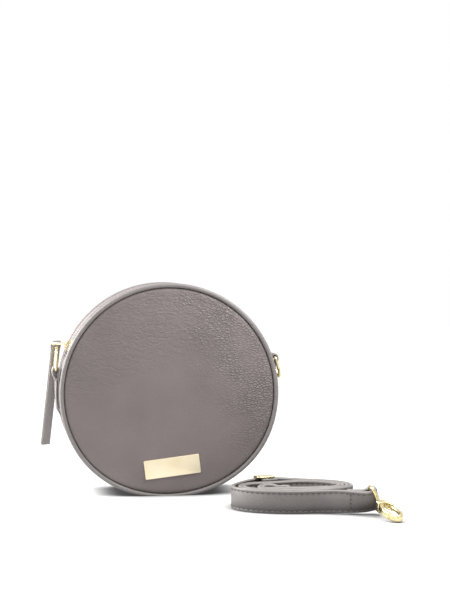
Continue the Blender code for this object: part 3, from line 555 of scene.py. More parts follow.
def sweep(
    stations: list[Station], outline: Outline, loop: bool = False, slots: list[int] | None = None
) -> Mesh:
    """Carries an outline along stations, with a UV map in metres.

    Args:
        stations: The cross-sections' places, in order.
        outline: The closed outline, as (side, out) points.
        loop: Whether the last station joins the first.
        slots: A material slot for each side of the outline.

    Returns:
        A closed mesh.
    """
    shape = bmesh.new()
    layer = shape.loops.layers.uv.new("metres")
    walked = distances([at.place for at in stations])
    whole = walked[-1] + (stations[0].place - stations[-1].place).length
    rounds = [0.0]
    for here, there in zip(outline, outline[1:] + outline[:1]):
        rounds.append(rounds[-1] + dist(here, there))
    rings = []
    for at in stations:
        rings.append([
            shape.verts.new(at.place + x * at.wide * at.side + y * at.high * at.out)
            for x, y in outline
        ])
    steps = [(k, k + 1, walked[k + 1]) for k in range(len(rings) - 1)]
    if loop:
        steps.append((len(rings) - 1, 0, whole))
    for here, there, far in steps:
        for k in range(len(outline)):
            after = (k + 1) % len(outline)
            face = shape.faces.new(
                (rings[here][k], rings[here][after], rings[there][after], rings[there][k])
            )
            spots = ((walked[here], rounds[k]), (walked[here], rounds[k + 1]),
                     (far, rounds[k + 1]), (far, rounds[k]))
            for corner, spot in zip(face.loops, spots):
                corner[layer].uv = spot
            if slots:
                face.material_index = slots[k]
    if not loop:
        for ring in (rings[0], rings[-1]):
            cap = shape.faces.new(ring)
            if slots:
                cap.material_index = max(slots)
    return closed_up(shape)


def circle(radius: float, sides: int) -> Outline:
    """The outline of a round wire.

    Args:
        radius: The wire's radius.
        sides: How many sides stand for the circle.

    Returns:
        The outline.
    """
    turns = [tau * k / sides for k in range(sides)]
    return [(radius * cos(turn), radius * sin(turn)) for turn in turns]


def squircle(sides: int, power: float) -> Outline:
    """An outline between a circle and a square, for cast sections.

    Args:
        sides: How many sides it has.
        power: 2 makes a circle, and more brings it nearer to a square.

    Returns:
        The outline, which reaches 1 to each side.
    """
    points = []
    for k in range(sides):
        turn = tau * k / sides
        points.append(tuple(
            copysign(abs(way) ** (2 / power), way) for way in (cos(turn), sin(turn))
        ))
    return points


def rounded(length: float, width: float, corner: float, steps: int = 6) -> Outline:
    """The outline of a rectangle with rounded corners.

    Args:
        length: Its size along X.
        width: Its size along Y.
        corner: The corners' radius.
        steps: How many sides round each corner has.

    Returns:
        The outline.
    """
    points = []
    for quarter in range(4):
        side_x = 1 if quarter in (0, 3) else -1
        side_y = 1 if quarter in (0, 1) else -1
        for step in range(steps + 1):
            turn = pi / 2 * (quarter + step / steps)
            points.append((
                side_x * (length / 2 - corner) + corner * cos(turn),
                side_y * (width / 2 - corner) + corner * sin(turn),
            ))
    return points


def spline(points: list[Vector], times: int, loop: bool = False) -> list[Vector]:
    """Adds points on a smooth curve through points.

    Args:
        points: The points to pass through.
        times: How many steps each gap is split into.
        loop: Whether the curve closes on itself.

    Returns:
        The finer points.
    """
    count = len(points)
    finer = []
    for k in range(count if loop else count - 1):
        if loop:
            a, b, c, d = (points[(k + shift) % count] for shift in (-1, 0, 1, 2))
        else:
            b, c = points[k], points[k + 1]
            a = points[k - 1] if k else b + (b - c)
            d = points[k + 2] if k + 2 < count else c + (c - b)
        for step in range(times):
            t = step / times
            finer.append(0.5 * (
                2 * b + (c - a) * t + (2 * a - 5 * b + 4 * c - d) * t ** 2
                + (3 * b - a - 3 * c + d) * t ** 3
            ))
    if not loop:
        finer.append(points[-1].copy())
    return finer


def wire_stations(points: list[Vector], normal: Vector, loop: bool = True) -> list[Station]:
    """Stations of a wire that lies in one plane.

    Args:
        points: The wire's middle line.
        normal: The plane's normal.
        loop: Whether the wire closes on itself.

    Returns:
        A station for each point.
    """
    stations = []
    count = len(points)
    for k, point in enumerate(points):
        before = points[k - 1] if loop or k else point
        after = points[(k + 1) % count] if loop or k + 1 < count else point
        along = (after - before).normalized()
        stations.append(Station(point, normal, normal.cross(along)))
    return stations


def strip_stations(rows: list[Row], times: int = 1) -> list[Station]:
    """Stations of a flat strip.

    Args:
        rows: The strip's middle line and the direction of its width, in order.
        times: How many steps each gap is split into.

    Returns:
        A station for each point of the finer line.
    """
    places = spline([row[0] for row in rows], times)
    sides = spline([row[1] for row in rows], times)
    stations = []
    for k, place in enumerate(places):
        along = places[min(k + 1, len(places) - 1)] - places[max(k - 1, 0)]
        along.normalize()
        side = (sides[k] - sides[k].dot(along) * along).normalized()
        stations.append(Station(place, side, side.cross(along)))
    return stations


def joined(meshes: list[Mesh]) -> Mesh:
    """Puts several meshes into one.

    Args:
        meshes: The meshes, which are removed.

    Returns:
        The one mesh.
    """
    shape = bmesh.new()
    for mesh in meshes:
        shape.from_mesh(mesh)
        bpy.data.meshes.remove(mesh)
    whole = bpy.data.meshes.new("shape")
    shape.to_mesh(whole)
    shape.free()
    return whole


def cast(meshes: list[Mesh], voxel: float, rounds: int) -> Mesh:
    """Melts closed meshes into one casting with softened corners.

    Args:
        meshes: The closed meshes, which may overlap.
        voxel: The size of the grid that they are rebuilt on.
        rounds: How often the surface is relaxed.

    Returns:
        One closed mesh.
    """
    mould = bpy.data.objects.new("mould", joined(meshes))
    bpy.context.scene.collection.objects.link(mould)
    remesh = mould.modifiers.new("melt", "REMESH")
    remesh.mode = "VOXEL"
    remesh.voxel_size = voxel
    relax = mould.modifiers.new("tumble", "SMOOTH")
    relax.factor = 0.5
    relax.iterations = rounds
    bpy.context.view_layer.update()
    done = mould.evaluated_get(bpy.context.evaluated_depsgraph_get())
    mesh = bpy.data.meshes.new_from_object(done)
    bpy.data.objects.remove(mould, do_unlink=True)
    mesh.shade_smooth()
    return mesh


def slab(
    outline: Outline, thickness: float, basis: Matrix, bevel: float = 0.0, steps: int = 3
) -> Mesh:
    """A flat plate with rounded rims.

    Args:
        outline: The plate's outline in the XY plane of basis.
        thickness: Its thickness along Z.
        basis: The frame that its middle lies in.
        bevel: The rims' radius.
        steps: How many faces round each rim has.

    Returns:
        A closed mesh.
    """
    shape = bmesh.new()
    base = shape.faces.new([shape.verts.new((x, y, -thickness / 2)) for x, y in outline])
    lifted = bmesh.ops.extrude_face_region(shape, geom=[base])
    top = [item for item in lifted["geom"] if isinstance(item, bmesh.types.BMVert)]
    bmesh.ops.translate(shape, vec=(0, 0, thickness), verts=top)
    if bevel:
        rims = [
            edge for edge in shape.edges
            if abs(edge.verts[0].co.z - edge.verts[1].co.z) < thickness / 2
        ]
        bmesh.ops.bevel(shape, geom=rims, offset=bevel, segments=steps, profile=0.5, affect="EDGES")
    bmesh.ops.transform(shape, matrix=basis, verts=shape.verts)
    return closed_up(shape)


def lathe(profile: Outline, basis: Matrix, sides: int = 24) -> Mesh:
    """A turned piece along the Z axis of basis.

    Args:
        profile: (radius, height) points from the lower end to the upper one, with radii over 0.
        basis: The frame that it is turned in.
        sides: How many faces it has round it.

    Returns:
        A closed mesh.
    """
    stations = []
    across, over, up = (Vector(basis.col[k][:3]) for k in range(3))
    for radius, height in profile:
        stations.append(Station(basis.translation + height * up, across, over, radius, radius))
    return sweep(stations, circle(1.0, sides))


def reading(table: tuple[tuple[float, float], ...], place: float) -> float:
    """Reads a table of (place, value) pairs at a place between them.

    Args:
        table: The pairs, in either order of their places.
        place: Where to read; past an end, the end's value holds.

    Returns:
        The value.
    """
    pairs = sorted(table)
    if place <= pairs[0][0]:
        return pairs[0][1]
    for (near, first), (far, second) in zip(pairs, pairs[1:]):
        if place <= far:
            return first + (second - first) * (place - near) / (far - near)
    return pairs[-1][1]


def settle(mesh: Mesh) -> Mesh:
    """Presses flat on the floor what a soft piece would sink below it.

    Args:
        mesh: The soft piece's mesh, in place.

    Returns:
        The same mesh.
    """
    for vertex in mesh.vertices:
        vertex.co.z = max(vertex.co.z, FLOOR_CLEARANCE)
    return mesh


@dataclass(frozen=True)
class Stitch:
    """A machine stitch: its pitch, how much of it shows and its thread's radius."""

    pitch: float
    length: float
    radius: float
    profile: tuple[Place, ...] = (
        (-0.5, 0.45, -0.9), (-0.28, 1.0, 0.1), (0.28, 1.0, 0.1), (0.5, 0.45, -0.9),
    )

    def sew(self, line: list[Row], start: float = 0.0) -> Mesh:
        """Sews a row of stitches whose ends dip into the leather.

        Args:
            line: Points on the leather with the direction that looks out of it.
            start: How far along the line the first stitch begins.

        Returns:
            One mesh with every stitch.
        """
        shape = bmesh.new()
        walked = distances([point for point, out in line])
        gone = start + self.length / 2
        number = 0
        while gone + self.length / 2 < walked[-1]:
            while walked[number + 1] < gone:
                number += 1
            (here, near), (there, far) = line[number:number + 2]
            share = (gone - walked[number]) / (walked[number + 1] - walked[number])
            along = (there - here).normalized()
            middle = here.lerp(there, share)
            out = near.lerp(far, share).normalized()
            side = out.cross(along)
            rings = []
            for shift, thick, rise in self.profile:
                centre = middle + shift * self.length * along + rise * self.radius * out
                rings.append([
                    shape.verts.new(centre + x * side + y * out)
                    for x, y in circle(thick * self.radius, 6)
                ])
            skin(shape, rings)
            gone += self.pitch
        return closed_up(shape)


@dataclass(frozen=True)
class Strip:
    """A flat strip of leather with painted edges and, where it is sewn, grooves for the thread."""

    width: float
    thickness: float
    edge: float
    inset: float = 0.0
    groove: float = 0.0
    thread_lift: float = 0.00005

    def outline(self) -> tuple[Outline, list[int]]:
        """The strip's cross-section.

        Returns:
            The outline, and a slot for each side of it: 0 is leather and 1 is edge paint.
        """
        half, rise = self.width / 2 - self.edge, self.thickness / 2
        upper: Outline = [(-half, rise)]
        if self.inset:
            for side in (-1, 1):
                middle = side * (self.width / 2 - self.inset)
                upper += [(middle - self.groove, rise), (middle, rise - self.groove * 0.7),
                          (middle + self.groove, rise)]
        upper.append((half, rise))
        points, slots = [], []
        for turned_over in (1, -1):
            points += [(turned_over * x, turned_over * y) for x, y in upper]
            slots += [0] * (len(upper) - 1)
            for step in range(1, 7):
                turn = pi / 2 - pi * step / 7
                points.append((
                    turned_over * (half + self.edge * cos(turn)), turned_over * rise * sin(turn),
                ))
            slots += [1] * 7
        return points, slots

    def seam(self, stations: list[Station], across: float, over: float) -> list[Row]:
        """A line for stitches along the strip.

        Args:
            stations: The strip's stations.
            across: The line's place across the strip, as a share of the way to the groove.
            over: 1 for the upper face and -1 for the lower one.

        Returns:
            Points on the leather with the direction that looks out of it.
        """
        reach = across * (self.width / 2 - self.inset)
        rise = over * (self.thickness / 2 - self.groove * 0.3)
        return [
            (at.place + reach * at.wide * at.side + rise * at.high * at.out, over * at.out)
            for at in stations
        ]

    def cross_seam(self, at: Station, over: int, steps: int) -> list[Row]:
        """A line for stitches across the strip.

        Args:
            at: The station that it crosses at.
            over: 1 for the upper face and -1 for the lower one.
            steps: How many gaps lie between the strip's middle and a groove.

        Returns:
            Points on the leather with the direction that looks out of it.
        """
        lift = over * (self.thickness / 2 + self.thread_lift) * at.out
        reach = self.width / 2 - self.inset
        return [
            (at.place + lift + reach * (k / steps - 1) * at.side, over * at.out)
            for k in range(2 * steps + 1)
        ]


@dataclass(frozen=True)
class Round:
    """The bag's round frame. Angles run anticlockwise from +X, as seen from the front."""

    middle_height: float = 0.0912
    roll: float = radians(4.0)
    radius: float = 0.0980
    depth: float = 0.0600
    cord_radius: float = 0.0020
    cord_set_back: float = 0.0015
    gusset_radius: float = 0.0964
    gusset_thickness: float = 0.0018
    gap: float = 0.0003
    zip_half_angle: float = radians(65.0)
    sag_share: float = 0.046
    sag_angle: float = radians(-87.0)
    sag_half_angle: float = radians(65.0)

    @property
    def matrix(self) -> Matrix:
        """The frame's place on the floor."""
        lift = Matrix.Translation((0, 0, self.middle_height))
        return lift @ Matrix.Rotation(-self.roll, 4, "Y")

    @property
    def gusset_half(self) -> float:
        """Half the width of the gusset between the two pipings."""
        return self.depth / 2 - self.cord_set_back - self.cord_radius - self.gap

    @property
    def tape_radius(self) -> float:
        """The outer radius of the zip's tapes, inside the gusset."""
        return self.gusset_radius - self.gusset_thickness - self.gap

    @property
    def zip_low(self) -> float:
        """The angle of the zip's right end."""
        return pi / 2 - self.zip_half_angle

    @property
    def zip_high(self) -> float:
        """The angle of the zip's left end."""
        return pi / 2 + self.zip_half_angle

    def sag(self, angle: float) -> float:
        """How much of its radius the shell keeps at an angle: it sags flatter at the foot."""
        reach = abs(remainder(angle - self.sag_angle, tau)) / self.sag_half_angle
        return 1 - self.sag_share * cos(pi / 2 * min(1.0, reach)) ** 2

    def at(self, angle: float, radius: float, depth: float = 0.0) -> Vector:
        """A place in the CAD frame, by its angle, radius and depth behind the bag's middle."""
        radius *= self.sag(angle)
        return self.matrix @ Vector((radius * cos(angle), depth, radius * sin(angle)))

    def station(self, angle: float, radius: float) -> Station:
        """A station whose side looks to the back of the bag and whose out looks away from it."""
        turn = self.matrix.to_3x3()
        side = turn @ Vector((0.0, 1.0, 0.0))
        along = self.at(angle + 0.001, radius) - self.at(angle - 0.001, radius)
        return Station(self.at(angle, radius), side, side.cross(along).normalized())

    def arc(self, start: float, end: float, radius: float, steps: int) -> list[Station]:
        """Stations along an arc from one angle to another, with steps gaps between them."""
        return [self.station(start + (end - start) * k / steps, radius) for k in range(steps + 1)]

    def along(self, length: float) -> float:
        """The angle of a length on the gusset."""
        return length / self.gusset_radius


ROUND = Round()


@dataclass
class Finishes:
    """The finishes that the sub-assemblies share."""

    front: Material = field(default_factory=MilledLeather(
        "milled_calf_leather_front", "#807675", "#524A4A", pebble_mm=2.5, relief_mm=0.42,
        grained_way=(0.90, 0.0, 0.44), grained_from=0.056, grained_to=0.108, streaks=True,
    ).build)
    body: Material = field(default_factory=MilledLeather(
        "milled_calf_leather", "#8E8684", "#6C6463", pebble_mm=2.2, relief_mm=0.12,
    ).build)
    piping: Material = field(default_factory=MilledLeather(
        "milled_calf_leather_piping", "#8C8785", "#736E6C", pebble_mm=1.8, relief_mm=0.05,
    ).build)
    strap: Material = field(default_factory=MilledLeather(
        "milled_calf_leather_strap", "#7F7A78", "#6E6967", pebble_mm=1.9, relief_mm=0.04,
        painted_shade_mm=18.0,
    ).build)
    # Painted light: the pull's leather is given a paler colour than the bag's, standing in for
    # light that its face, turned from the lamps, does not get
    pull: Material = field(default_factory=MilledLeather(
        "milled_calf_leather_pull_painted_light", "#AAA7A5", "#95918F", pebble_mm=1.4, relief_mm=0.04,
    ).build)
    edge: Material = field(default_factory=EdgePaint("acrylic_edge_paint", "#8E8986").build)
    dark_edge: Material = field(default_factory=EdgePaint(
        "acrylic_edge_paint_pull", "#827D7A",
    ).build)
    thread: Material = field(default_factory=BondedThread(
        "bonded_polyester_thread", "#57504D",
    ).build)
    gold: Material = field(default_factory=PlatedZinc(
        "gold_plated_zinc", "#E3D5A6", "#937E44",
    ).build)
    plate: Material = field(default_factory=PlatedZinc(
        "gold_plated_zinc_plate", "#E5D8BC", "#DECFAB", roughness=0.42, wave_mm=20.0,
        wave_height_mm=0.02,
    ).build)
    brass: Material = field(default_factory=PlatedZinc(
        "stamped_brass", "#D9BE78", "#B89A55", roughness=0.26, wave_mm=1.5,
    ).build)
    steel: Material = field(default_factory=PlatedZinc(
        "zinc_plated_steel", "#B9B8B2", "#9D9C98", roughness=0.34,
    ).build)
    # The tape's threads are about 0.3 mm apart and the lining's 0.25 mm; both are drawn
    # coarser so that the weave shows
    tape: Material = field(default_factory=WovenCloth(
        "woven_polyester_tape", "#6F6765", "#4A4443", 0.7, Weave.ALONG
    ).build)
    lining: Material = field(default_factory=WovenCloth(
        "woven_lining", "#5A5658", "#3D3A3C", 0.6, Weave.FLAT,
    ).build)
    gusset_lining: Material = field(default_factory=WovenCloth(
        "woven_lining_gusset", "#5A5658", "#3D3A3C", 0.6, Weave.ALONG
    ).build)
    board: Material = field(default_factory=PressedBoard(
        "pressed_grey_board", "#B3A58E", "#8C7E69",
    ).build)


def place(
    name: str, mesh: Mesh, materials: list[Material], body: str, slot: str, *nodes: str
) -> None:
    """Shows a piece, rides it on its body and hides the nodes that it replaces.

    Args:
        name: The piece's name.
        mesh: Its mesh, in the frame of the CAD model.
        materials: The materials of its slots.
        body: The CAD body that it moves with.
        slot: The record's material slot; it is not used.
        *nodes: The CAD nodes that it replaces.
    """
    piece = shown(name, mesh, materials)
    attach(piece, body)
    if nodes:
        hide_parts(*nodes)
    LOG.info("%s rides on %s, %d faces", name, body, len(mesh.polygons))


@dataclass
class BagShell:
    """The two faces, their piping, boards and linings, and the gusset between them."""

    finishes: Finishes
    crown: float = 0.0010
    panel_radius: float = 0.0937
    panel_thickness: float = 0.0016
    roll_over: float = 0.0036
    roll_drop: float = 0.0021
    turned_in: tuple[tuple[float, float], ...] = ((0.0002, 0.0028), (0.0030, 0.0030))
    bonded_radius: float = 0.0620
    wave: float = 0.00022
    pucker: float = 0.00016
    sides: int = 224
    rings: int = 46
    gusset_crown: float = 0.0005
    gusset_wave: float = 0.00018
    gusset_end_gap: float = 0.0002
    gusset_end_height: float = 0.75
    seam_roll: float = 0.0016
    seam_drop: float = 0.0009
    fold_drop: float = 0.0011
    zip_opening: float = 0.0104
    stitch_inset: float = 0.0022
    stitch_start: float = 0.0016
    stitch: Stitch = Stitch(0.0034, 0.0025, 0.00028)
    thread_lift: float = 0.00012
    lining_thickness: float = 0.0006
    lining_lap: float = 0.0036
    lining_slack: float = 0.00015

    def build(self) -> None:
        """Builds and dresses every piece of the shell."""
        for face in Face:
            self.build_face(face)
            self.build_piping(face)
            self.build_upper_strip(face)
            self.build_lining(face)
            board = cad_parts[face.word + "_board"]
            board.material_slots[0].material = self.finishes.board
        self.build_lower_gusset()
        self.build_gusset_lining()

    def relief(self, radius: float, angle: float, face: Face) -> float:
        """How far the leather stands off a flat face.

        Args:
            radius: The distance from the face's middle.
            angle: The angle round it.
            face: Which face it is.

        Returns:
            The height over the flat face, in metres.
        """
        share = min(1.0, radius / self.panel_radius)
        dome = self.crown * (1 - share ** 2.4)
        spot = Vector((radius * cos(angle), 0.4 * face.value, radius * sin(angle)))
        slow = noise.noise(spot * 26.0) + 0.5 * noise.noise(spot * 61.0 + Vector((3.1, 0.0, 7.7)))
        # Leather pulled over the padded edge puckers a little where it meets the seam
        gathered = noise.noise(Vector((cos(angle), 2.0 * face.value, sin(angle))) * 21.0)
        near_seam = eased((share - 0.86) / 0.12)
        return dome + self.wave * slow * (1 - near_seam) + self.pucker * gathered * near_seam

    def build_face(self, face: Face) -> None:
        """Builds one face: a slightly crowned disc that rolls over into the seam.

        Args:
            face: Which face it is.
        """
        half = ROUND.depth / 2
        profile = []
        for ring in range(self.rings + 1):
            share = ring / self.rings
            radius = self.panel_radius * (1 - (1 - share) ** 1.25)
            into = max(0.0, radius - (self.panel_radius - self.roll_over)) / self.roll_over
            drop = self.roll_drop * (1 - sqrt(max(0.0, 1 - into * into)))
            profile.append((radius, half - drop, True))
        for inside, drop in self.turned_in:
            profile.append((self.panel_radius - inside, half - drop, False))
        profile.append((self.bonded_radius, half - self.panel_thickness, False))
        shape = bmesh.new()
        rings = []
        for radius, depth, upper in profile[1:]:
            ring = []
            for k in range(self.sides):
                angle = tau * k / self.sides
                lift = self.relief(radius, angle, face) if upper else 0.0
                ring.append(shape.verts.new(ROUND.at(angle, radius, face.value * (depth + lift))))
            rings.append(ring)
        tip = shape.verts.new(ROUND.at(0.0, 0.0, face.value * (half + self.relief(0, 0, face))))
        base = shape.verts.new(ROUND.at(0.0, 0.0, face.value * (half - self.panel_thickness)))
        for k in range(self.sides):
            after = (k + 1) % self.sides
            shape.faces.new((tip, rings[0][k], rings[0][after]))
            shape.faces.new((base, rings[-1][after], rings[-1][k]))
        skin(shape, rings, capped=False)
        mesh = closed_up(shape)
        leather = self.finishes.front if face is Face.FRONT else self.finishes.body
        place(
            face.word + "_face", mesh, [leather], "bag", face.word + "_panel_leather",
            face.word + "_panel",
        )

    def build_piping(self, face: Face) -> None:
        """Builds the leather-covered cord round one face, with the faint ribs of its wrapping.

        Args:
            face: Which face it goes round.
        """
        steps = 300
        stations = []
        for k in range(steps):
            angle = tau * k / steps
            at = ROUND.station(angle, ROUND.radius - ROUND.cord_radius)
            at.place += face.value * (ROUND.depth / 2 - ROUND.cord_set_back) * at.side
            spot = Vector((cos(angle), face.value, sin(angle)))
            at.wide = at.high = 1 + 0.022 * noise.noise(spot * 33.0)
            stations.append(at)
        mesh = sweep(stations, circle(ROUND.cord_radius, 18), loop=True)
        place(
            face.word + "_cord", settle(mesh), [self.finishes.piping], "bag",
            face.word + "_piping_leather", face.word + "_piping",
        )

    def gusset_outline(self, near: float, far: float, near_roll: float, far_roll: float) -> Outline:
        """The cross-section of a strip of the gusset.

        Args:
            near: Its front edge, as a depth.
            far: Its back edge.
            near_roll: How deep its front edge rolls down.
            far_roll: How deep its back edge rolls down.

        Returns:
            The outline, with the gusset's outer radius as its zero height.
        """
        upper = []
        count = 18
        for k in range(count + 1):
            share = k / count
            depth = near + (far - near) * (0.5 - 0.5 * cos(pi * share))
            rise = self.gusset_crown * sin(pi * share) ** 0.8 if 0 < share < 1 else 0
            for edge, roll in ((near, near_roll), (far, far_roll)):
                close = max(0.0, 1 - abs(depth - edge) / self.seam_roll)
                rise -= roll * (1 - sqrt(max(0.0, 1 - close * close)))
            upper.append((depth, rise))
        base = -ROUND.gusset_thickness
        return upper + [(far, base), ((near + far) / 2, base), (near, base)]

    def build_lower_gusset(self) -> None:
        """Builds the lower gusset with a line of stitches across each end."""
        half = ROUND.gusset_half
        outline = self.gusset_outline(-half, half, self.seam_drop, self.seam_drop)
        inset = ROUND.along(self.gusset_end_gap)
        start, end = ROUND.zip_high + inset, ROUND.zip_low + tau - inset
        stations = ROUND.arc(start, end, ROUND.gusset_radius, 200)
        for k in (0, -1):
            stations[k].high = self.gusset_end_height
        for k, at in enumerate(stations):
            spot = Vector((at.out.x, 0.0, at.out.z))
            at.place += self.gusset_wave * noise.noise(spot * 9.0) * at.out
        mesh = settle(sweep(stations, outline))
        place("gusset_lower", mesh, [self.finishes.body], "bag", "gusset_leather", "lower_gusset")
        for word, angle, way in (("left", start, 1), ("right", end, -1)):
            line = []
            at = ROUND.station(angle + way * ROUND.along(self.stitch_inset), ROUND.gusset_radius)
            for k in range(41):
                depth = half * 0.92 * (k / 20 - 1)
                rise = self.gusset_crown * cos(pi / 2 * depth / half) ** 0.8
                line.append((at.place + depth * at.side + rise * at.out, at.out))
            mesh = self.stitch.sew(line)
            name = f"gusset_end_stitches_{word}"
            place(name, mesh, [self.finishes.thread], "bag", "gusset_leather")

    def build_upper_strip(self, face: Face) -> None:
        """Builds one strip beside the zip, with its folded edge and the stitches along it.

        Args:
            face: The face that it lies beside.
        """
        word = face.word
        inset = ROUND.along(ROUND.gap)
        start, end = ROUND.zip_low + inset, ROUND.zip_high - inset
        edges = (face.value * self.zip_opening / 2, face.value * ROUND.gusset_half)
        rolls = (self.fold_drop, self.seam_drop)
        if face is Face.FRONT:
            edges, rolls = edges[::-1], rolls[::-1]
        outline = self.gusset_outline(*edges, *rolls)
        stations = ROUND.arc(start, end, ROUND.gusset_radius, 150)
        mesh = sweep(stations, outline)
        place(
            f"gusset_upper_{word}", mesh, [self.finishes.body], "bag", f"upper_leather_{word}",
            f"upper_gusset_{word}",
        )
        across = face.value * (self.zip_opening / 2 + self.stitch_inset)
        line = [
            (at.place + across * at.side + self.thread_lift * at.out, at.out) for at in stations
        ]
        mesh = self.stitch.sew(line, self.stitch_start)
        place(f"zip_stitches_{word}", mesh, [self.finishes.thread], "bag", f"upper_leather_{word}")

    def build_lining(self, face: Face) -> None:
        """Builds the cloth that is bonded to one board.

        Args:
            face: Which face it lies behind.
        """
        low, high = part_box(face.word + "_lining")
        outer, inner = (low.y, high.y) if face is Face.FRONT else (high.y, low.y)
        radius = ROUND.gusset_radius - ROUND.gusset_thickness - 2 * ROUND.gap
        shape = bmesh.new()
        rings = []
        for radial, depth in (
            (0.5, outer), (1.0, outer), (1.0, inner), (0.8, inner), (0.6, inner), (0.3, inner),
        ):
            ring = []
            for k in range(96):
                angle = tau * k / 96
                spot = Vector((radial * cos(angle), face.value, radial * sin(angle)))
                slack = self.lining_slack * noise.noise(spot * 5.0)
                at = depth + (slack if radial < 1 and depth == inner else 0.0)
                ring.append(shape.verts.new(ROUND.at(angle, radial * radius, at)))
            rings.append(ring)
        skin(shape, rings)
        mesh = closed_up(shape)
        place(
            face.word + "_cloth_lining", mesh, [self.finishes.lining], "bag", face.word + "_cloth",
            face.word + "_lining",
        )

    def build_gusset_lining(self) -> None:
        """Builds the cloth inside the lower gusset."""
        low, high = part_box("gusset_lining")
        lap = ROUND.along(self.lining_lap)
        stations = ROUND.arc(
            ROUND.zip_high + lap, ROUND.zip_low + tau - lap,
            ROUND.tape_radius - self.lining_thickness / 2, 150,
        )
        outline = rounded(high.y - low.y, self.lining_thickness, self.lining_thickness * 0.45, 2)
        mesh = sweep(stations, outline)
        place(
            "gusset_cloth_lining", mesh, [self.finishes.gusset_lining], "bag", "gusset_cloth",
            "gusset_lining",
        )


@dataclass
class Zip:
    """The zip: two tapes, two rows of teeth, two stops and the slider with its bridge."""

    finishes: Finishes
    tape_thickness: float = 0.0006
    tape_edge: float = 0.0026
    tape_reach: float = 0.0150
    tape_lap: float = 0.0033
    chain_thickness: float = 0.0024
    tooth_pitch: float = 0.0020
    tooth_width: float = 0.00084
    tooth_tip: float = 0.0009
    stop_length: float = 0.0016
    stop_rim: float = 0.0003
    slider_length: float = 0.0110
    slider_width: float = 0.0090
    slider_plate: float = 0.0012
    slider_rim: float = 0.0004
    slider_grain: float = 0.00016
    post_length: float = 0.0016
    post_margin: float = 0.0009
    post_corner: float = 0.0005
    bridge_wire: float = 0.0008
    bridge_span: float = 0.0080
    bridge_height: float = 0.0037
    bridge_sunk: float = 0.0004
    bridge_flat: float = 1.1
    bridge_square: float = 0.6

    @property
    def chain_radius(self) -> float:
        """The radius that the teeth's middles lie on."""
        return ROUND.tape_radius - self.tape_thickness / 2

    @property
    def slider_top(self) -> float:
        """The radius of the underside of the slider's upper plate."""
        return self.chain_radius + self.chain_thickness / 2 + ROUND.gap

    @property
    def slider_bottom(self) -> float:
        """The radius of the top side of the slider's lower plate."""
        return self.chain_radius - self.chain_thickness / 2 - ROUND.gap

    @property
    def slider_angle(self) -> float:
        """The slider's place at the closed end of the zip."""
        margin = self.stop_length + 2 * ROUND.gap + self.slider_length / 2
        return ROUND.zip_high - ROUND.along(margin)

    @property
    def slider_frame(self) -> Matrix:
        """The slider's frame: Z looks out of the bag and X runs to the zip's open end."""
        turn = pi / 2 - self.slider_angle
        return ROUND.matrix @ Matrix.Rotation(turn, 4, "Y")

    def build(self) -> None:
        """Builds and dresses every piece of the zip."""
        for face in Face:
            self.build_tape(face)
            self.build_teeth(face)
        margin = ROUND.along(ROUND.gap + self.stop_length / 2)
        self.build_stop("left", ROUND.zip_high - margin)
        self.build_stop("right", ROUND.zip_low + margin)
        self.build_slider()

    def build_tape(self, face: Face) -> None:
        """Builds one woven tape with the beaded edge that the teeth grip.

        Args:
            face: The face that it lies towards.
        """
        lap = ROUND.along(self.tape_lap)
        stations = ROUND.arc(
            ROUND.zip_low - lap, ROUND.zip_high + lap,
            ROUND.tape_radius - self.tape_thickness / 2, 150,
        )
        outline = rounded(
            self.tape_reach - self.tape_edge, self.tape_thickness, self.tape_thickness * 0.45, 2
        )
        middle = face.value * (self.tape_reach + self.tape_edge) / 2
        outline = [(x + middle, y) for x, y in outline]
        mesh = sweep(stations, outline)
        place(
            f"tape_{face.word}", mesh, [self.finishes.tape], "bag", f"tape_{face.word}",
            f"zip_tape_{face.word}",
        )

    def build_teeth(self, face: Face) -> None:
        """Builds one row of stamped teeth, each with a waist and a rounded head.

        Args:
            face: The face that their tape lies towards.
        """
        start = ROUND.zip_low + ROUND.along(self.stop_length + 2 * ROUND.gap)
        post = self.slider_length / 2 - self.post_margin - self.post_length
        end = self.slider_angle + ROUND.along(post - ROUND.gap)
        radius = self.chain_radius
        count = int((end - start) * radius / self.tooth_pitch)
        step = (end - start) / count
        first = 0.25 if face is Face.FRONT else 0.75
        way = -face.value
        reach = self.tooth_tip + self.tape_edge - ROUND.gap
        root = -(self.tape_edge - ROUND.gap)
        half, rise = self.tooth_width / 2, self.chain_thickness / 2
        sections = (
            (0.00, 0.80, 0.78), (0.07, 1.00, 0.96), (0.34, 1.00, 1.00), (0.50, 0.72, 0.94),
            (0.66, 0.72, 0.90), (0.78, 1.00, 0.90), (0.92, 1.00, 0.84), (1.00, 0.66, 0.62),
        )
        teeth = []
        for tooth in range(count):
            at = ROUND.station(start + step * (tooth + first), radius)
            along = at.side.cross(at.out)
            stations = []
            for share, wide, high in sections:
                spot = at.place + way * (root + reach * share) * at.side
                stations.append(Station(spot, along, at.out, half * wide, rise * high))
            teeth.append(sweep(stations, squircle(8, 5.0)))
        mesh = joined(teeth)
        node = f"zip_teeth_{face.word}"
        place(f"teeth_{face.word}", mesh, [self.finishes.brass], "bag", node + "_brass", node)

    def build_stop(self, word: str, angle: float) -> None:
        """Builds the clip that closes one end of the chain.

        Args:
            word: Which end it is.
            angle: Its place.
        """
        at = ROUND.station(angle, self.chain_radius)
        turn = axes_at(at.place, at.side, at.side.cross(at.out), at.out)
        width = 2 * (self.tape_edge - ROUND.gap)
        outline = rounded(width, self.stop_length, self.stop_length * 0.4)
        mesh = slab(outline, self.chain_thickness, turn, self.stop_rim)
        place(
            f"stop_{word}", mesh, [self.finishes.brass], "bag", f"zip_stop_{word}_brass",
            f"zip_stop_{word}",
        )

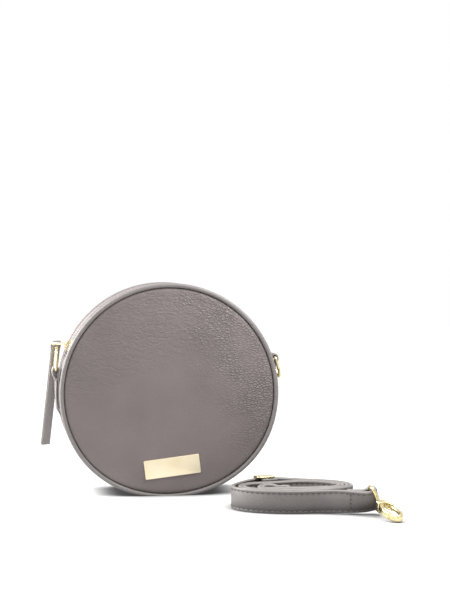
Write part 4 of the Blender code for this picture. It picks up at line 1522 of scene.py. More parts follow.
    def build_slider(self) -> None:
        """Builds the cast slider: two shaped plates, the post between them and the bridge."""
        basis = self.slider_frame
        half, wide = self.slider_length / 2, self.slider_width / 2
        outline: Outline = []
        for side in (1, -1):
            curve = ((-1.0, 0.62), (-0.86, 0.90), (-0.55, 1.0), (0.0, 0.86), (0.55, 0.78),
                     (0.92, 0.74), (1.0, 0.55))
            part = [(share * half, side * width * wide) for share, width in curve]
            outline += part if side > 0 else part[::-1]
        top = Matrix.Translation((0, 0, self.slider_top + self.slider_plate / 2))
        bottom = Matrix.Translation((0, 0, self.slider_bottom - self.slider_plate / 2))
        parts = [
            slab(outline, self.slider_plate, basis @ top, self.slider_rim, 2),
            slab(outline, self.slider_plate, basis @ bottom, self.slider_rim, 2),
        ]
        post_x = -(half - self.post_margin - self.post_length / 2)
        middle = (self.slider_top + self.slider_bottom) / 2
        height = self.slider_top - self.slider_bottom + self.slider_plate
        spot = basis @ Matrix.Translation((post_x, 0, middle))
        outline = rounded(self.post_length, self.post_length, self.post_corner, 3)
        parts.append(slab(outline, height, spot))
        foot = self.slider_top + self.slider_plate - self.bridge_sunk
        arch = []
        for step in range(21):
            lean = pi * step / 20
            rise = max(0.0, sin(lean)) ** self.bridge_square
            height = foot + (self.bridge_height + self.bridge_sunk) * rise
            arch.append(basis @ Vector((self.bridge_span / 2 * cos(lean), 0, height)))
        normal = basis.to_3x3() @ Vector((0, 1, 0))
        stations = wire_stations(arch, normal, loop=False)
        for at in stations:
            at.wide = self.bridge_flat
        parts.append(sweep(stations, circle(self.bridge_wire, 12)))
        mesh = cast(parts, self.slider_grain, 3)
        place("slider_body", mesh, [self.finishes.gold], "slider", "slider_metal", "zip_slider")


@dataclass
class Pull:
    """The three-sided ring on the slider's bridge and the folded leather strip on it."""

    finishes: Finishes
    zip_part: Zip
    yaw: float = radians(55.0)
    wire: float = 0.0008
    length: float = 0.0145
    nose_half: float = 0.0024
    corner: float = 0.0013
    bar_half: float = 0.0058
    strip_length: float = 0.0970
    strip_width: float = 0.0090
    strip_edge: float = 0.0004
    leather: float = 0.0012
    lean: float = radians(10.0)
    close: float = 0.0080
    curl: float = 0.0005
    play: float = 0.0004

    @property
    def ring_frame(self) -> Matrix:
        """The ring's frame: X runs from the bridge to the bar, and Y along the bar."""
        seat = self.zip_part.slider_top + self.zip_part.slider_plate + self.zip_part.bridge_height
        along = Vector((-cos(self.yaw), sin(self.yaw), 0))
        bar = Vector((-sin(self.yaw), -cos(self.yaw), 0))
        return axes_at(ROUND.at(self.zip_part.slider_angle, seat), along, bar, along.cross(bar))

    def build(self) -> None:
        """Builds and dresses the ring and the strip."""
        self.build_ring()
        self.build_strip()

    def build_ring(self) -> None:
        """Builds the bent wire ring."""
        basis = self.ring_frame
        points = []
        for step in range(17):
            turn = pi / 2 + pi * step / 16
            points.append(Vector((self.nose_half * cos(turn), self.nose_half * sin(turn), 0)))
        for side in (-1, 1):
            for step in range(9):
                share = step / 8
                turn = side * pi / 2 * (1 - share if side < 0 else share)
                points.append(Vector((
                    self.length - self.corner + self.corner * cos(turn),
                    side * (self.bar_half - self.corner) + self.corner * sin(turn), 0,
                )))
        normal = basis.to_3x3() @ Vector((0, 0, 1))
        stations = wire_stations([basis @ point for point in points], normal)
        mesh = sweep(stations, circle(self.wire, 14), loop=True)
        place(
            "pull_wire_ring", mesh, [self.finishes.gold], "pull_ring", "pull_ring_metal",
            "pull_ring",
        )

    def build_strip(self) -> None:
        """Builds the strip: one length of leather folded round the bar, with its layers bonded."""
        hang = Matrix.Translation((self.length, 0, 0))
        hang = hang @ Matrix.Rotation(pi / 2 - self.lean, 4, "Y")
        basis = self.ring_frame @ hang
        turn_radius = self.wire + self.play + self.leather / 2
        closed = self.leather / 2 + ROUND.gap / 2
        down = []
        for step in range(13):
            share = step / 12
            down.append((share * self.close, turn_radius + (closed - turn_radius) * eased(share)))
        rest = self.strip_length - turn_radius - self.close
        for step in range(1, 25):
            down.append((self.close + rest * step / 24, closed))
        path = [(x, -off) for x, off in reversed(down)]
        for step in range(1, 16):
            turn = pi * step / 16
            path.append((-turn_radius * sin(turn), -turn_radius * cos(turn)))
        path += down
        turn = basis.to_3x3()
        rows = []
        for x, off in path:
            # The hanging end curls very slightly, as cut leather does
            curl = self.curl * (x / self.strip_length) ** 2 if x > 0 else 0.0
            rows.append((basis @ Vector((x, 0, off + curl)), turn @ Vector((0, 1, 0))))
        stations = strip_stations(rows)
        outline, slots = Strip(self.strip_width, self.leather, self.strip_edge).outline()
        mesh = sweep(stations, outline, slots=slots)
        place(
            "pull_leather_strip", mesh, [self.finishes.pull, self.finishes.dark_edge], "pull_strip",
            "strip_leather", "pull_strip",
        )


@dataclass
class RingTab:
    """One leather tab on the side of the gusset, its stitches and the D-ring in its loop."""

    finishes: Finishes
    end: End
    tab_angle: float
    stand_off: float
    rest: float
    width: float = 0.0140
    leather: float = 0.0016
    inner_length: float = 0.0340
    outer_length: float = 0.0430
    tail_round: float = 0.0045
    sewn_from: float = 0.0045
    sewn_over: float = 0.0070
    skived_share: float = 0.62
    skived_length: float = 0.0100
    layer_gap: float = 0.0004
    play: float = 0.0004
    wire: float = 0.0013
    inner_width: float = 0.0156
    reach: float = 0.0193
    bow_share: float = 0.75
    edge_round: float = 0.0006
    stitch_inset: float = 0.0021
    groove: float = 0.0003
    cross_start: float = 0.0006
    stitch: Stitch = Stitch(0.0033, 0.0024, 0.00026)
    cross_stitch: Stitch = Stitch(0.00297, 0.0022, 0.00026)
    outer_shares: tuple[tuple[float, float], ...] = (
        (0.0, 1.0), (0.06, 0.94), (0.14, 0.66), (0.25, 0.36), (0.37, 0.22),
        (0.5, 0.14), (0.65, 0.07), (0.8, 0.0), (1.0, -0.10),
    )
    inner_shares: tuple[tuple[float, float], ...] = (
        (1.0, 0.0), (0.75, 0.0), (0.5, 0.04), (0.35, 0.22), (0.2, 0.62), (0.08, 0.93), (0.0, 1.0),
    )

    @property
    def bar_angle(self) -> float:
        """The angle of the ring's bar on the bag."""
        return pi - self.tab_angle if self.end is End.LEFT else self.tab_angle

    @property
    def seat(self) -> float:
        """The radius that the ring's bar lies on."""
        return ROUND.gusset_radius + self.stand_off

    @property
    def loop(self) -> float:
        """The radius of the leather's middle where it turns round the bar."""
        return self.wire + self.play + self.leather / 2

    @property
    def on_gusset(self) -> float:
        """The radius of the inner layer's middle where it lies on the gusset."""
        return ROUND.gusset_radius + ROUND.gap + self.leather / 2

    @property
    def doubled(self) -> float:
        """The radius of the outer layer's middle where it lies on the inner one."""
        return self.on_gusset + self.leather + self.layer_gap

    def build(self) -> None:
        """Builds and dresses the tab and the ring."""
        self.build_tab()
        self.build_ring()

    def build_tab(self) -> None:
        """Builds the tab: up the gusset, round the ring's bar and down again, sewn at the foot."""
        word = self.end.word
        seat, loop, on_gusset, doubled = self.seat, self.loop, self.on_gusset, self.doubled
        path = []
        for down, rise in self.inner_shares:
            path.append((down * self.inner_length, on_gusset + (seat - loop - on_gusset) * rise))
        for step in range(1, 8):
            turn = -pi / 2 + pi * step / 8
            path.append((-loop * cos(turn), seat + loop * sin(turn)))
        first_outer = len(path)
        for down, rise in self.outer_shares:
            path.append((down * self.outer_length, doubled + (seat + loop - doubled) * rise))
        rows = []
        for down, radius in path:
            at = ROUND.station(self.bar_angle + self.end.value * down / ROUND.gusset_radius, radius)
            rows.append((at.place, at.side))
        times = 5
        stations = strip_stations(rows, times)
        tail = [at.place for at in stations]
        for at in stations:
            left = (at.place - tail[-1]).length
            if left < self.tail_round and at is not stations[0]:
                at.wide = 0.72 + 0.28 * sqrt(max(0.0, 1 - (1 - left / self.tail_round) ** 2))
        strip = Strip(
            self.width, self.leather, self.edge_round, self.stitch_inset, self.groove
        )
        outline, slots = strip.outline()
        mesh = sweep(stations, outline, slots=slots)
        self.tuck(mesh)
        place(
            f"tab_{word}", mesh, [self.finishes.body, self.finishes.edge], "bag",
            f"{word}_tab_leather", f"{word}_tab",
        )
        self.build_stitches(strip, stations, first_outer * times)

    def tuck(self, mesh: Mesh) -> None:
        """Draws the tab's side edges down to the gusset, where they are sewn, and skives its end.

        Args:
            mesh: The tab or its stitches, in place.
        """
        seat, loop, on_gusset, doubled = self.seat, self.loop, self.on_gusset, self.doubled
        inverse = ROUND.matrix.inverted()
        for vertex in mesh.vertices:
            spot = inverse @ vertex.co
            angle = atan2(spot.z, spot.x)
            away = remainder(angle - self.bar_angle, tau)
            down = self.end.value * away * ROUND.gusset_radius
            radius = hypot(spot.x, spot.z) / ROUND.sag(angle)
            outer = (seat + loop - doubled) * reading(self.outer_shares, down / self.outer_length)
            inner = (seat - loop - on_gusset) * reading(self.inner_shares, down / self.inner_length)
            split = (doubled + outer + on_gusset + inner) / 2
            lift = outer if radius > split else inner
            edge = eased((abs(spot.y) / (self.width / 2) - 0.25) / 0.75)
            below = eased((down - self.sewn_from) / self.sewn_over)
            drop = max(0.0, lift) * edge * below
            past = down - self.outer_length + self.skived_length
            skived = self.skived_share * eased(past / (0.9 * self.skived_length))
            drop += skived * (radius - drop - ROUND.gusset_radius - ROUND.gap)
            share = 1 - drop / radius
            vertex.co = ROUND.matrix @ Vector((spot.x * share, spot.y, spot.z * share))

    def build_stitches(self, strip: Strip, stations: list[Station], first: int) -> None:
        """Builds the stitches down both sides of the outer layer and across it.

        Args:
            strip: The tab's cross-section.
            stations: The tab's stations.
            first: The station where the outer layer begins.
        """
        word = self.end.word
        sewn = stations[first + 12:-4]
        middle = ROUND.matrix.translation
        over = 1 if sewn[0].out.dot(sewn[0].place - middle) > 0 else -1
        rows = [self.stitch.sew(strip.seam(sewn, side, over)) for side in (-1, 1)]
        for at in (sewn[2], sewn[-3]):
            line = strip.cross_seam(at, over, 6)
            rows.append(self.cross_stitch.sew(line, self.cross_start))
        mesh = joined(rows)
        self.tuck(mesh)
        mesh.shade_smooth()
        place(f"tab_stitches_{word}", mesh, [self.finishes.thread], "bag", f"{word}_tab_leather")

    def build_ring(self) -> None:
        """Builds the D-ring: a straight bar and a bow of one wire."""
        word = self.end.word
        turn = Matrix.Rotation(-self.rest, 4, "Y")
        half = self.inner_width / 2 + self.wire
        seat = Vector((cos(self.bar_angle), 0.0, sin(self.bar_angle))) * self.seat
        basis = ROUND.matrix @ Matrix.Translation(seat) @ turn
        points = [Vector((0.0, half * share, 0.0)) for share in (0.8, 0.4, 0.0, -0.4, -0.8)]
        for step in range(33):
            angle = -pi / 2 + pi * step / 32
            bow = max(0.0, cos(angle)) ** self.bow_share
            points.append(Vector((
                self.wire + (self.reach - self.wire) * bow, half * sin(angle), 0.0
            )))
        points = [basis @ point for point in points]
        normal = basis.to_3x3() @ Vector((0, 0, 1))
        stations = wire_stations(spline(points, 2, True), normal)
        mesh = sweep(stations, circle(self.wire, 18), loop=True)
        place(
            f"d_ring_{word}", mesh, [self.finishes.gold], f"{word}_ring", f"{word}_ring_metal",
            f"{word}_ring",
        )


@dataclass
class NamePlate:
    """The bare plate on the front face and its backing inside."""

    finishes: Finishes
    length: float = 0.0500
    width: float = 0.0170
    thickness: float = 0.0012
    corner: float = 0.0010
    shift: float = -0.0026
    drop: float = 0.0651
    tilt: float = radians(2.9)
    bevel: float = 0.00035
    prong_away: float = 0.018
    prong_depth: float = 0.0022
    prong: tuple[tuple[float, float], ...] = (
        (0.0004, -0.0022), (0.0007, -0.0018), (0.0007, 0.0021), (0.0006, 0.0024),
    )

    def build(self) -> None:
        """Builds the plate and dresses its backing."""
        face = -ROUND.depth / 2 - ROUND.gap - self.thickness / 2
        basis = ROUND.matrix @ Matrix.Translation((self.shift, face, -self.drop))
        basis = basis @ Matrix.Rotation(pi / 2, 4, "X") @ Matrix.Rotation(self.tilt, 4, "Z")
        outline = rounded(self.length, self.width, self.corner)
        parts = [slab(outline, self.thickness, basis, self.bevel)]
        behind = -self.thickness / 2 - self.prong_depth
        for side in (-1, 1):
            spot = basis @ Matrix.Translation((side * self.prong_away, 0, behind))
            parts.append(lathe(list(self.prong), spot))
        mesh = joined(parts)
        place("bare_plate", mesh, [self.finishes.plate], "bag", "plate_metal", "name_plate")
        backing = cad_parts["plate_backing"]
        backing.material_slots[0].material = self.finishes.steel


@dataclass
class Coil:
    """The way the doubled strap lies: a standing oval coil with a clasp at each end."""

    strap_width: float = 0.0195
    leather: float = 0.0030
    layer_gap: float = 0.0004
    play: float = 0.0004
    eye_wire: float = 0.0014
    slide_bar: float = 0.0012
    slide_plate: float = 0.0013
    middle_x: float = 0.0970
    middle_y: float = -0.1005
    half_length: float = 0.0535
    half_depth: float = 0.0345
    pitch: float = 0.0072
    slack: float = 0.0030
    steps: int = 32
    start_turn: float = 0.22
    spiral_start: float = 0.69
    spiral_end: float = 2.36
    slide_turn: float = 0.69
    bump_out: float = 0.0015
    bump_in: float = 0.0048
    bump_turns: float = 0.13
    bar_a: Place = (0.1540, -0.1455, 0.0142)
    bar_b: Place = (0.0900, -0.0960, 0.0104)
    a_rise: float = radians(20.5)
    a_heading: float = radians(12.0)
    a_twist: float = radians(-26.4)
    a_twist_share: float = 0.62
    a_bow: float = 0.0360
    b_twist: float = radians(55.0)
    b_heading: float = radians(-3.0)
    b_bow: float = 0.0420
    end_lift: float = 0.0008
    end_steps: int = 14

    @property
    def half_fold(self) -> float:
        """From the middle of the doubled strap to the middle of one layer."""
        return (self.leather + self.layer_gap) / 2

    @property
    def eye_turn(self) -> float:
        """The radius of the strap's middle where it turns round a clasp's bar."""
        return self.eye_wire + self.play + self.leather / 2

    @property
    def slide_turn_radius(self) -> float:
        """The radius of the strap's middle where it turns round the slide's middle bar."""
        return self.slide_bar + self.play + self.leather / 2

    def inset(self, turns: float) -> float:
        """How far inside the oval the middle of the doubled strap lies.

        Args:
            turns: How far it has run, in turns from the oval's right end.

        Returns:
            The distance.
        """
        inset = self.leather / 2 + self.half_fold
        inset += self.pitch * max(0.0, turns - self.spiral_start)
        for past, bump in ((0, -self.bump_out), (1, self.bump_in)):
            away = abs(turns - self.slide_turn - past) / self.bump_turns
            if away < 1:
                inset += bump * cos(pi / 2 * away) ** 2
        return inset

    def point(self, turns: float) -> Vector:
        """The middle of the doubled strap.

        Args:
            turns: How far it has run, in turns from the oval's right end.

        Returns:
            The place.
        """
        angle = -tau * turns
        inset = self.inset(turns)
        slack = self.slack * max(0.0, -sin(angle)) ** 2 * max(0.0, turns - self.start_turn)
        lift = 0.0
        away = abs(turns - self.slide_turn) / self.bump_turns
        if away < 1:
            lift = (self.slide_plate + ROUND.gap) * cos(pi / 2 * away) ** 2
        return Vector((
            self.middle_x + (self.half_length - inset) * cos(angle),
            self.middle_y + (self.half_depth - inset - slack) * sin(angle),
            self.strap_width / 2 + lift,
        ))

    @staticmethod
    def bow(start: Vector, start_way: Vector, end: Vector, end_way: Vector, s: float) -> Vector:
        """A point of a smooth curve.

        Args:
            start: Where it starts.
            start_way: The way that it leaves, whose length is how stiffly it does.
            end: Where it ends.
            end_way: The way that it arrives.
            s: The point's place on it, from 0 to 1.

        Returns:
            The point.
        """
        return (
            start * (2 * s ** 3 - 3 * s ** 2 + 1) + start_way * (s ** 3 - 2 * s ** 2 + s)
            + end * (3 * s ** 2 - 2 * s ** 3) + end_way * (s ** 3 - s ** 2)
        )

    def middle_line(self) -> list[tuple[Vector, Vector, Vector, Vector]]:
        """The doubled strap's middle.

        Returns:
            Stations of (centre, along, out, up) from the bar of clasp a to that of clasp b.
        """
        first = self.point(self.start_turn)
        way = (self.point(self.start_turn + 1 / self.steps) - first).normalized()
        leave = Vector((
            -cos(self.a_heading) * cos(self.a_rise),
            sin(self.a_heading) * cos(self.a_rise), -sin(self.a_rise),
        ))
        up = Vector((0, 0, 1))
        up = Matrix.Rotation(self.a_twist, 3, leave) @ (up - up.dot(leave) * leave).normalized()
        start = Vector(self.bar_a) + (self.eye_turn - self.half_fold) * up.cross(leave)
        points, twists = [], []
        for step in range(self.end_steps):
            share = step / self.end_steps
            spot = self.bow(start, leave * self.a_bow, first, way * self.a_bow, share)
            spot.z += self.end_lift * sin(pi * share) ** 2
            points.append(spot)
            twists.append(self.a_twist * (1 - eased(share / self.a_twist_share)))
        for step in range(round((self.spiral_end - self.start_turn) * self.steps)):
            points.append(self.point(self.start_turn + step / self.steps))
            twists.append(0.0)
        last = self.point(self.spiral_end)
        way = (last - self.point(self.spiral_end - 1 / self.steps)).normalized()
        arrive = Vector((cos(self.b_heading), sin(self.b_heading), 0))
        for step in range(self.end_steps + 1):
            share = step / self.end_steps
            end = Vector(self.bar_b)
            spot = self.bow(last, way * self.b_bow, end, arrive * self.b_bow, share)
            spot.z += self.end_lift * sin(pi * share) ** 2
            points.append(spot)
            twists.append(self.b_twist * eased(2 * share - 1))
        stations = []
        for number, (spot, twist) in enumerate(zip(points, twists)):
            along = points[min(number + 1, len(points) - 1)] - points[max(number - 1, 0)]
            along.normalize()
            up = Vector((0, 0, 1))
            up = (up - up.dot(along) * along).normalized()
            up = Matrix.Rotation(twist, 3, along) @ up
            stations.append((spot, along, up.cross(along), up))
        return stations


@dataclass
class Strap:
    """The strap: one sewn band, folded round both clasps' bars and the slide's middle bar."""

    finishes: Finishes
    coil: Coil
    fold_length: float = 0.0220
    fold_close: float = 0.0080
    fold_steps: int = 8
    slide_tail: float = 0.0100
    edge_round: float = 0.0011
    inset: float = 0.0026
    groove: float = 0.00045
    stitch: Stitch = Stitch(0.0047, 0.0027, 0.00045)
    cross_stitch: Stitch = Stitch(0.0036, 0.0024, 0.00045)
    cross_inset: float = 0.0045
    seam_start: float = 0.0020
    cross_start: float = 0.0010

    def half_circle(
        self, centre: Vector, radius: float, first: Vector, beyond: Vector, up: Vector
    ) -> list[Row]:
        """The strap's half turn round a bar.

        Args:
            centre: The bar's middle.
            radius: The turn's radius.
            first: The side of the bar that it starts on.
            beyond: The side of the bar that it passes.
            up: The direction of the strap's width.

        Returns:
            The rows between its start and its end.
        """
        rows = []
        for step in range(1, self.fold_steps):
            turn = pi * step / self.fold_steps
            rows.append((centre + radius * (cos(turn) * first + sin(turn) * beyond), up))
        return rows

    def rows(self) -> list[Row]:
        """The strap's middle line from tail to tail, with the direction of its width.

        Returns:
            The rows, in order.
        """
        coil = self.coil
        stations = coil.middle_line()
        lengths = distances([station[0] for station in stations])
        half, eye = coil.half_fold, coil.eye_turn
        slide = coil.end_steps + round((coil.slide_turn - coil.start_turn) * coil.steps)
        rows = []
        for number in reversed(range(len(stations))):
            centre, along, out, up = stations[number]
            if lengths[number] < self.fold_length:
                closed = eased(lengths[number] / self.fold_close)
                rows.append((centre + (-half - 2 * (eye - half) * (1 - closed)) * out, up))
        centre, along, out, up = stations[0]
        rows += self.half_circle(centre - (eye - half) * out, eye, -out, -along, up)
        opened = [
            (eye - half) * (1 - eased((lengths[-1] - length) / self.fold_close))
            for length in lengths
        ]
        for number, (centre, along, out, up) in enumerate(stations):
            rows.append((centre + (half + opened[number]) * out, up))
        centre, along, out, up = stations[-1]
        rows += self.half_circle(centre, eye, out, along, up)
        for number in reversed(range(slide, len(stations))):
            centre, along, out, up = stations[number]
            rows.append((centre - (half + opened[number]) * out, up))
        centre, along, out, up = stations[slide]
        turn_radius = coil.slide_turn_radius
        bar = centre - (half + turn_radius) * out
        rows += self.half_circle(bar, turn_radius, out, -along, up)
        for number in range(slide, len(stations)):
            gone = lengths[number] - lengths[slide]
            if gone > self.slide_tail:
                break
            centre, along, out, up = stations[number]
            spread = 2 * turn_radius + (2 * half - 2 * turn_radius) * eased(gone / self.fold_close)
            rows.append((centre - (half + spread) * out, up))
        return rows

    def build(self) -> None:
        """Builds the band and its two lines of stitches on each face."""
        coil = self.coil
        stations = strip_stations(self.rows(), 3)
        strip = Strip(
            coil.strap_width, coil.leather, self.edge_round, self.inset, self.groove
        )
        outline, slots = strip.outline()
        mesh = settle(sweep(stations, outline, slots=slots))
        place(
            "strap_band", mesh, [self.finishes.strap, self.finishes.edge], "strap", "strap_leather",
            "strap",
        )
        seams = [
            self.stitch.sew(strip.seam(stations, side, over), self.seam_start)
            for side in (-1, 1) for over in (-1, 1)
        ]
        mesh = joined(seams + self.cross_seams(strip, stations))
        mesh.shade_smooth()
        place("strap_stitches", mesh, [self.finishes.thread], "strap", "strap_leather")

    def cross_seams(self, strip: Strip, stations: list[Station]) -> list[Mesh]:
        """Rows of stitches across the strap, which close the folds at the clasps.

        Args:
            strip: The strap's cross-section.
            stations: The strap's stations.

        Returns:
            A mesh for each row.
        """
        walked = distances([at.place for at in stations])
        fold = self.fold_length + pi * self.coil.eye_turn
        meshes = []
        for distance in (self.cross_inset, fold + self.fold_length - self.cross_inset):
            number = min(range(len(walked)), key=lambda k: abs(walked[k] - distance))
            for over in (-1, 1):
                line = strip.cross_seam(stations[number], over, 8)
                meshes.append(self.cross_stitch.sew(line, self.cross_start))
        return meshes


@dataclass
class StrapSlide:
    """The cast slide that sets the strap's length: two side rails and three bars."""

    finishes: Finishes
    coil: Coil
    length: float = 0.0170
    corner: float = 0.0032
    rim: float = 0.00045
    grain: float = 0.00025
    bar_inset: float = 0.0016

    def build(self) -> None:
        """Builds and dresses the slide."""
        coil = self.coil
        number = coil.end_steps + round((coil.slide_turn - coil.start_turn) * coil.steps)
        centre, along, out, up = coil.middle_line()[number]
        basis = axes_at(centre, along, out, up)
        bar = coil.slide_bar
        outer = coil.half_fold + coil.leather / 2 + coil.play + bar
        inner = -coil.half_fold - coil.slide_turn_radius
        top, bottom = outer + bar, inner - bar
        height = coil.strap_width / 2 + ROUND.gap + coil.slide_plate / 2
        outline = rounded(self.length, top - bottom, self.corner)
        parts = []
        for side in (-1, 1):
            spot = Matrix.Translation((0, (top + bottom) / 2, side * height))
            parts.append(slab(outline, coil.slide_plate, basis @ spot, self.rim))
        reach = self.length / 2 - self.bar_inset
        for x, y in ((0.0, inner), (-reach, outer), (reach, outer)):
            spot = basis @ Matrix.Translation((x, y, 0))
            parts.append(lathe([(bar, -height), (bar, height)], spot, 18))
        mesh = cast(parts, self.grain, 3)
        place("slide_casting", mesh, [self.finishes.gold], "slide", "slide_metal", "strap_slide")


@dataclass
class SwivelClasp:
    """A swivel clasp: the eye in the strap's fold, the snap hook, its sprung gate and the pin."""

    finishes: Finishes
    coil: Coil
    clasp: Clasp
    swing: float
    swivel: float
    eye_side_play: float = 0.0012
    eye_reach: float = 0.0084
    eye_square: float = 0.35
    eye_grain: float = 0.0002
    post_radius: float = 0.0013
    head_radius: float = 0.0022
    head_thickness: float = 0.0012
    neck_length: float = 0.0031
    neck_half: float = 0.0040
    neck_lap: float = 0.0010
    neck_corner: float = 0.0012
    neck_rim: float = 0.0011
    hook_length: float = 0.0318
    hook_half: float = 0.0074
    hook_grain: float = 0.00022
    wall: float = 0.0030
    nose_wall: float = 0.0034
    thickness: float = 0.0062
    gate_start: float = 0.0098
    gate_length: float = 0.0140
    gate_thickness: float = 0.0030
    gate_root: float = 0.0016
    gate_pin: float = 0.0005
    ear_length: float = 0.0034
    ear_lap: float = 0.0012

    @property
    def neck(self) -> float:
        """Where the hook begins, along X from the bar."""
        return self.eye_reach + self.coil.eye_wire + ROUND.gap

    @property
    def frame(self) -> Matrix:
        """The eye's frame: X runs from the bar to the hook's nose, and Z along the bar."""
        stations = self.coil.middle_line()
        if self.clasp is Clasp.A:
            centre, along, out, up = stations[0]
            bar = centre - (self.coil.eye_turn - self.coil.half_fold) * out
        else:
            centre, along, out, up = stations[-1]
            bar = centre
        forward = self.clasp.value * along
        forward = cos(self.swing) * forward + sin(self.swing) * out
        return axes_at(bar, forward, up.cross(forward), up)

    @property
    def hook_frame(self) -> Matrix:
        """The frame of the hook and its gate, turned on the eye's post."""
        return self.frame @ Matrix.Rotation(self.swivel, 4, "X")

    @property
    def gate_root_x(self) -> float:
        """Where the gate's rivet lies along X."""
        return self.neck + self.gate_start

    @property
    def gate_root_y(self) -> float:
        """Where the gate's rivet lies along Y, in the middle of the hook's wall."""
        return (self.wall_at(self.gate_root_x, True) + self.wall_at(self.gate_root_x, False)) / 2

    def oval(self, inside: bool) -> tuple[float, float, float]:
        """The oval that the hook's outer or inner outline follows.

        Args:
            inside: Whether it is the inner one.

        Returns:
            Where its middle lies along X, and half its length and half its width.
        """
        end, half = self.neck + self.hook_length, self.hook_half
        if inside:
            end -= self.nose_wall
            half -= self.wall
        half_long = (end - self.neck - self.neck_length) / 2
        return end - half_long, half_long, half

    def wall_at(self, x: float, inside: bool) -> float:
        """The half width of one of the hook's outlines.

        Args:
            x: Where to measure it.
            inside: Whether it is the inner outline.

        Returns:
            The half width.
        """
        middle, half_long, half = self.oval(inside)
        share = (x - middle) / half_long
        return half * sqrt(max(0.0, 1 - share * share))

    def between(self, basis: Matrix, turn: float, inner_turn: float) -> Station:
        """A section of the hook's bow between its outer and inner outlines.

        Args:
            basis: The hook's frame.
            turn: The outer outline's angle.
            inner_turn: The inner outline's angle.

        Returns:
            The section's station, for a unit outline.
        """
        rims = []
        for inside, angle in ((False, turn), (True, inner_turn)):
            middle, half_long, half = self.oval(inside)
            rims.append(Vector((middle + half_long * cos(angle), half * sin(angle), 0)))
        outer, inner = rims
        way = outer - inner
        rotate = basis.to_3x3()
        return Station(
            basis @ ((outer + inner) / 2), (rotate @ way).normalized(),
            rotate @ Vector((0, 0, 1)), way.length / 2, self.thickness / 2,
        )

    def build(self) -> None:
        """Builds and dresses every piece of the clasp."""
        self.build_eye()
        self.build_hook()
        self.build_gate()

    def build_eye(self) -> None:
        """Builds the eye: a bowed wire, the post that the hook turns on and the post's head."""
        basis = self.frame
        word = self.clasp.word
        wire = self.coil.eye_wire
        half = self.coil.strap_width / 2 + self.eye_side_play + wire
        points = [Vector((0, 0, half * share)) for share in (-0.6, -0.3, 0.0, 0.3, 0.6)]
        for step in range(25):
            turn = pi / 2 - pi * step / 24
            reach = max(0.0, cos(turn)) ** self.eye_square
            points.append(Vector((self.eye_reach * reach, 0, half * sin(turn))))
        normal = basis.to_3x3() @ Vector((0, 1, 0))
        stations = wire_stations([basis @ point for point in points], normal)
        parts = [sweep(stations, circle(wire, 16), loop=True)]
        post_end = self.neck + self.neck_length + ROUND.gap + self.head_thickness
        lie = basis @ Matrix.Rotation(pi / 2, 4, "Y")
        head, post = self.head_radius, self.post_radius
        parts.append(lathe([
            (post * 1.35, self.eye_reach - 0.0004), (post * 1.35, self.eye_reach + wire - 0.0001),
            (post, self.eye_reach + wire + 0.0003), (post, post_end - self.head_thickness),
            (head * 0.92, post_end - self.head_thickness), (head, post_end - 0.0009),
            (head, post_end - 0.0005), (head * 0.86, post_end - 0.0001), (head * 0.5, post_end),
        ], lie))
        mesh = cast(parts, self.eye_grain, 2)
        place(
            f"clasp_eye_{word}", mesh, [self.finishes.gold], f"eye_{word}", f"eye_{word}_metal",
            f"clasp_{word}_eye",
        )

    def build_hook(self) -> None:
        """Builds the snap hook as one casting, and the rivet that its gate turns on."""
        basis = self.hook_frame
        word = self.clasp.word
        root = self.gate_root_x
        gap_end = root + self.gate_length
        middle, half_long, _ = self.oval(False)
        inner_middle, inner_long, _ = self.oval(True)
        mouth = acos((gap_end - middle) / half_long)
        inner_mouth = acos((gap_end - inner_middle) / inner_long)
        meet = pi - asin(self.neck_half / self.hook_half)
        bow = []
        for step in range(61):
            turn = mouth - (mouth + meet) * step / 60
            bow.append(self.between(basis, turn, turn * inner_mouth / mouth if turn > 0 else turn))
        section = squircle(22, 3.0)
        parts = [sweep(bow, section)]
        slot_start = root - self.gate_root - ROUND.gap
        first = acos((slot_start - middle) / half_long)
        parts.append(sweep([
            self.between(basis, turn, turn) for turn in
            (first, first + 0.1, (first + meet) / 2, meet - 0.05, meet)
        ], section))
        neck_middle = self.neck + self.neck_length / 2 + self.neck_lap
        outline = rounded(
            self.neck_length + 2 * self.neck_lap, 2 * self.neck_half, self.neck_corner
        )
        spot = basis @ Matrix.Translation((neck_middle, 0, 0))
        parts.append(slab(outline, self.thickness, spot, self.neck_rim))
        ear = (self.thickness - self.gate_thickness - 2 * ROUND.gap) / 2
        ear_end = root + self.ear_length / 2
        ear_start = slot_start - self.ear_lap
        edge = [ear_start + (ear_end - ear_start) * k / 8 for k in range(9)]
        outline = [(x, self.wall_at(x, False)) for x in edge]
        outline += [(x, self.wall_at(x, True)) for x in reversed(edge)]
        for side in (-1, 1):
            lift = side * (self.thickness / 2 - ear / 2)
            spot = basis @ Matrix.Translation((0, 0, lift))
            parts.append(slab(outline, ear, spot))
        mesh = cast(parts, self.hook_grain, 3)
        place(
            f"clasp_hook_{word}", mesh, [self.finishes.gold], f"hook_{word}", f"hook_{word}_metal",
            f"clasp_{word}_hook",
        )
        pivot = self.gate_root_y
        spot = basis @ Matrix.Translation((root, pivot, 0))
        pin, end = self.gate_pin, self.thickness / 2
        profile = [(pin * 0.8, -end - 0.0002), (pin * 1.7, -end), (pin * 1.7, -end + 0.0001),
                   (pin, -end + 0.0002)]
        profile += [(radius, -height) for radius, height in reversed(profile)]
        place(
            f"gate_rivet_{word}", lathe(profile, spot, 16), [self.finishes.gold], f"hook_{word}",
            f"pin_{word}_metal", f"clasp_{word}_pin",
        )

